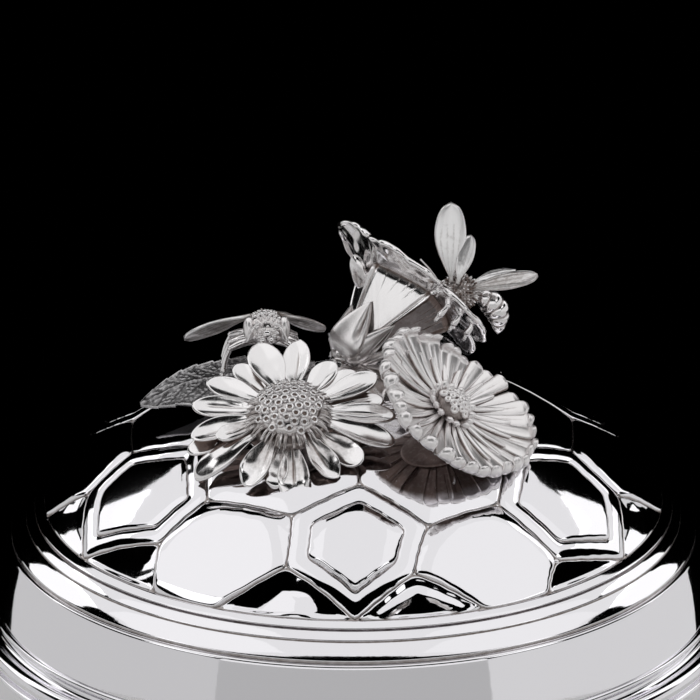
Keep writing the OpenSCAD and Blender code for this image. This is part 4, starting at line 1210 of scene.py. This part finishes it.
    s = Shape()
    for hip, knee, foot in legs:
        hip, knee, foot = [np.asarray(v, float) for v in (hip, knee, foot)]
        k2 = knee + 0.66 * (foot - knee)
        up_ = np.array([0, 0, 0.35])
        a = curve([hip, 0.5 * (hip + knee) + up_, knee], 12)
        s.tube(a, 0.36 + 0.24 * np.sin(np.linspace(0.15, pi - 0.3, 12)), 12, 0.2)
        s.ball(knee, np.eye(3), (0.46, 0.46, 0.46), 12, 8, 0.15)
        b = curve([knee, 0.5 * (knee + k2) + 0.2 * unit(knee - hip), k2], 10)
        s.tube(b, 0.30 + 0.22 * np.linspace(0.1, 1, 10) ** 1.5, 12, 0.2)
        for i, v in enumerate(np.linspace(0.12, 1.0, 4)):
            c = k2 + v * (foot - k2)
            a1, a2, a3 = along(foot - k2)
            s.ball(c, np.array([a1, a2, a3]), (0.34 - 0.02 * i, 0.34 - 0.02 * i, 0.44), 10, 8, 0.2)
    s.make("bee_%s_legs_jointed" % side, CAST, "lid", "%s_bee_legs" % side, "cast_silver")


LP = np.array([-12.6, 2, ZA + 7.9])
lw = [([-2.0, 0.4, 1.2], (-10.3, 1, -3.9), (-0.15, 0.72, 0.68), 10.4, 2.0, 1.5), ([-1.6, 1.9, 0.7], (-6.5, 5.0, -4.2), (-0.3, 0.5, 0.8), 7.66, 1.7, 1.5),
      ([2.0, 0.6, 1.2], (7, 3.2, -3.4), (0.3, 0.72, 0.68), 7.8, 2.0, 1.5), ([1.3, 2, 1.0], (3.9, 5.8, -3.6), (0.3, 0.5, 0.8), 7.0, 1.7, 1.5)]
ll = []
for sgn in (-1, 1):
    for k in range(3):
        ll.append((LP + [sgn * 1.2, -1.3 + 1.3 * k, -1.7], LP + [sgn * 4.2 + (-0.8 if sgn < 0 else 0), -2.2 + 2.6 * k, -2.4],
                   LP + [sgn * 5 + (-1.4 if sgn < 0 else 0), -2.6 + 2.7 * k, -7.4 if sgn < 0 else -6.6]))
bee("left", LP, [0.05, -0.93, 0.28], [0, 0.2, 1], lw, ll, 61, [3.1, 0, -0.1], (1.9, 3.0, 2.25),
    [[-2.0, 0, -0.3], [-4.4, 0, -0.5], [-7.0, 0, -0.9], [-9.3, 0, -1.6]], 2.5,
    [[[4.8, 0.7 * e, 0.6], [5.6, 1.3 * e, 0.9], [5.8, 2.1 * e, 0.2], [5.6, 2.9 * e, -1.6]] for e in (-1, 1)], 1.0)

RP = np.array([15.3, 3.3, ZA + 12.9])
rw = [([-1.35, -0.8, 1.75], (0.02, 0.12, 1), (0.12, -1, 0.40), 11.3, 2.3, 0.35), ([-0.45, -1.4, 1.75], (0.286, 0.16, 0.935), (0.1, -1, 0.40), 7.0, 1.35, 0.35),
      ([0.9, -0.9, 0.2], (0.97, 0, 0.24), (-0.2, -0.45, 0.87), 10.5, 1.6, 1.3), ([1.6, 0.9, 0.5], (0.85, 0.45, 0.1), (-0.1, -0.4, 0.87), 7.2, 1.35, 1.0)]
RU, RN = [-0.72, -0.28, 0.63], [0.6, 0.15, 0.75]
rx = np.array(facing(RU, RN))
rl_ = []
for sgn in (-1, 1):
    for k in range(3):
        rl_.append(tuple(RP + np.array(v) @ rx for v in ([1.3 - 1.3 * k, sgn * 1.2, -1.7], [2 - 2.4 * k, sgn * 3.2, -2.2], [2.2 - 2.8 * k, sgn * 3.4, -4.8])))
loc = lambda v: (np.asarray(v, float) @ rx.T).tolist()
bee("right", RP, RU, RN, rw, rl_, 62, loc([-1.9, -0.4, 0.2]), (1.2, 1.5, 1.3),
    [loc(v) for v in ([2.2, 0.8, -0.9], [4.0, 1.3, -1.9], [5.2, 1.7, -3.6], [5.5, 2.0, -5.6], [5.4, 2.1, -7.4])], 1.85,
    [[loc(v) for v in f] for f in ([[-2.6, -0.7, 0.9], [-3.3, -1.2, 2.2], [-4.4, -2.2, 4.2], [-5.7, -3.4, 6.2]],
                                   [[-2.6, -0.5, 0.9], [-4.0, -1.5, 2.6], [-6.0, -3.0, 4.6], [-8.2, -4.0, 6.6]])], 0.8)

# ---------------------------------------------------------------- stage, light, camera


def stage():
    # pale table, whose far edge lies behind the bowl
    n = 160
    a = np.linspace(0, 2 * pi, n, endpoint=False)
    R, c = 500.0, np.array([0, -370.0, 0])
    rows = [(0.01, 0.0), (R * 0.25, 0.0), (R * 0.5, 0.0), (R * 0.75, 0.0), (R - 6, 0.0), (R - 2, -0.8), (R, -3.0), (R, -16.0), (R - 4, -18.0), (0.01, -18.0)]
    g = np.array([np.stack([r * np.cos(a), r * np.sin(a), np.full(n, z)], -1) + c for r, z in rows])
    s = Shape()
    s.rings(g, 0.0)
    me = bpy.data.meshes.new("table_top")
    faces = []
    for f in s.f:
        faces += f.tolist()
    me.from_pydata((np.concatenate(s.v) * 0.001).tolist(), [], faces)
    me.polygons.foreach_set("use_smooth", [True] * len(me.polygons))
    me.set_sharp_from_angle(angle=math.radians(40))
    ob = bpy.data.objects.new("table_top", me)
    bpy.context.scene.collection.objects.link(ob)
    mat = bpy.data.materials.new("table_paper")
    mat.use_nodes = True
    nt = mat.node_tree
    sh = next(x for x in nt.nodes if x.type == "BSDF_PRINCIPLED")
    sh.inputs["Roughness"].default_value = 0.85
    no = nt.nodes.new("ShaderNodeTexNoise")
    no.inputs["Scale"].default_value = 400.0
    ra = nt.nodes.new("ShaderNodeValToRGB")
    ra.color_ramp.elements[0].color = (0.90, 0.895, 0.885, 1)
    ra.color_ramp.elements[1].color = (0.95, 0.945, 0.935, 1)
    nt.links.new(no.outputs["Fac"], ra.inputs["Fac"])
    nt.links.new(ra.outputs["Color"], sh.inputs["Base Color"])
    me.materials.append(mat)


stage()


def softbox(name, at, to, sx, sy, radiance, colour=(1, 1, 1), spread=180):
    """Rectangular soft light, of a given brightness seen in the silver."""
    d = bpy.data.lights.new(name, "AREA")
    d.shape = "RECTANGLE"
    d.size, d.size_y = sx, sy
    d.energy = radiance * pi * sx * sy
    d.color = colour
    d.spread = math.radians(spread)
    o = bpy.data.objects.new(name, d)
    bpy.context.scene.collection.objects.link(o)
    o.location = at
    v = unit(np.asarray(to, float) - np.asarray(at, float))
    # local -Z looks at the target, local Y as near world up as can be
    z = -v
    ref = np.array([0, 1.0, 0]) if abs(z[2]) > 0.9 else np.array([0, 0, 1.0])
    x = unit(np.cross(ref, z))
    y = np.cross(z, x)
    from mathutils import Matrix
    o.rotation_mode = "QUATERNION"
    o.rotation_quaternion = Matrix(np.stack([x, y, z], 1).tolist()).to_quaternion()
    o.visible_camera = False
    return o


softbox("key_overhead", (0.0, 0.09, 0.95), (0.0, 0.09, 0.0), 2.1, 1.06, 0.80)
softbox("key_left", (-0.62, -0.05, 0.94), (-0.62, -0.05, 0.0), 0.72, 0.66, 0.11)
softbox("key_right", (0.62, -0.05, 0.94), (0.62, -0.05, 0.0), 0.72, 0.66, 0.07)
softbox("key_back_left", (-0.66, 0.76, 0.95), (-0.66, 0.76, 0.0), 0.60, 0.28, 0.80)
softbox("key_back_right", (0.66, 0.71, 0.95), (0.66, 0.71, 0.0), 0.60, 0.18, 0.80)
softbox("left_strip", (-0.754, 0.49, 0.538), (0, 0, 0.1), 0.42, 0.42, 1.05)
softbox("right_strip", (0.754, 0.49, 0.538), (0, 0, 0.1), 0.42, 0.42, 1.05)
softbox("left_high", (-0.853, -0.493, 0.692), (0, 0, 0.1), 0.50, 0.34, 1.2)
softbox("right_high", (0.853, -0.493, 0.692), (0, 0, 0.1), 0.50, 0.34, 1.2)
softbox("front_low", (0.0, -1.35, 0.12), (0, -1.0, 0.12), 2.5, 0.48, 0.45)
softbox("front_high", (0.0, -1.35, 0.64), (0, -1.0, 0.64), 2.5, 0.56, 0.84)
softbox("side_low_left", (-1.25, -0.02, -0.04), (0, -0.02, -0.04), 2.66, 0.92, 0.56)
softbox("side_low_right", (1.25, -0.02, -0.04), (0, -0.02, -0.04), 2.66, 0.92, 0.66)

sc = bpy.context.scene
w = bpy.data.worlds.new("studio_dark")
w.use_nodes = True
bg = next(x for x in w.node_tree.nodes if x.type == "BACKGROUND")
bg.inputs["Color"].default_value = (0.0, 0.0, 0.0, 1)
bg.inputs["Strength"].default_value = 0.0
sc.world = w
sc.view_settings.view_transform = "Standard"
sc.view_settings.look = "None"
sc.view_settings.exposure = 0.0

PITCH, DIST = math.radians(22.1), 2.0
cd = bpy.data.cameras.new("camera")
cd.sensor_width = 36.0
cd.lens = 13972.0 * 36.0 / 700.0
cd.clip_start, cd.clip_end = 0.05, 50.0
cam = bpy.data.objects.new("camera", cd)
sc.collection.objects.link(cam)
cam.location = (-0.0005, -DIST * math.cos(PITCH), 0.109937 + DIST * math.sin(PITCH))
cam.rotation_euler = (pi / 2 - PITCH, 0, 0)
sc.camera = cam

bpy.context.view_layer.update()
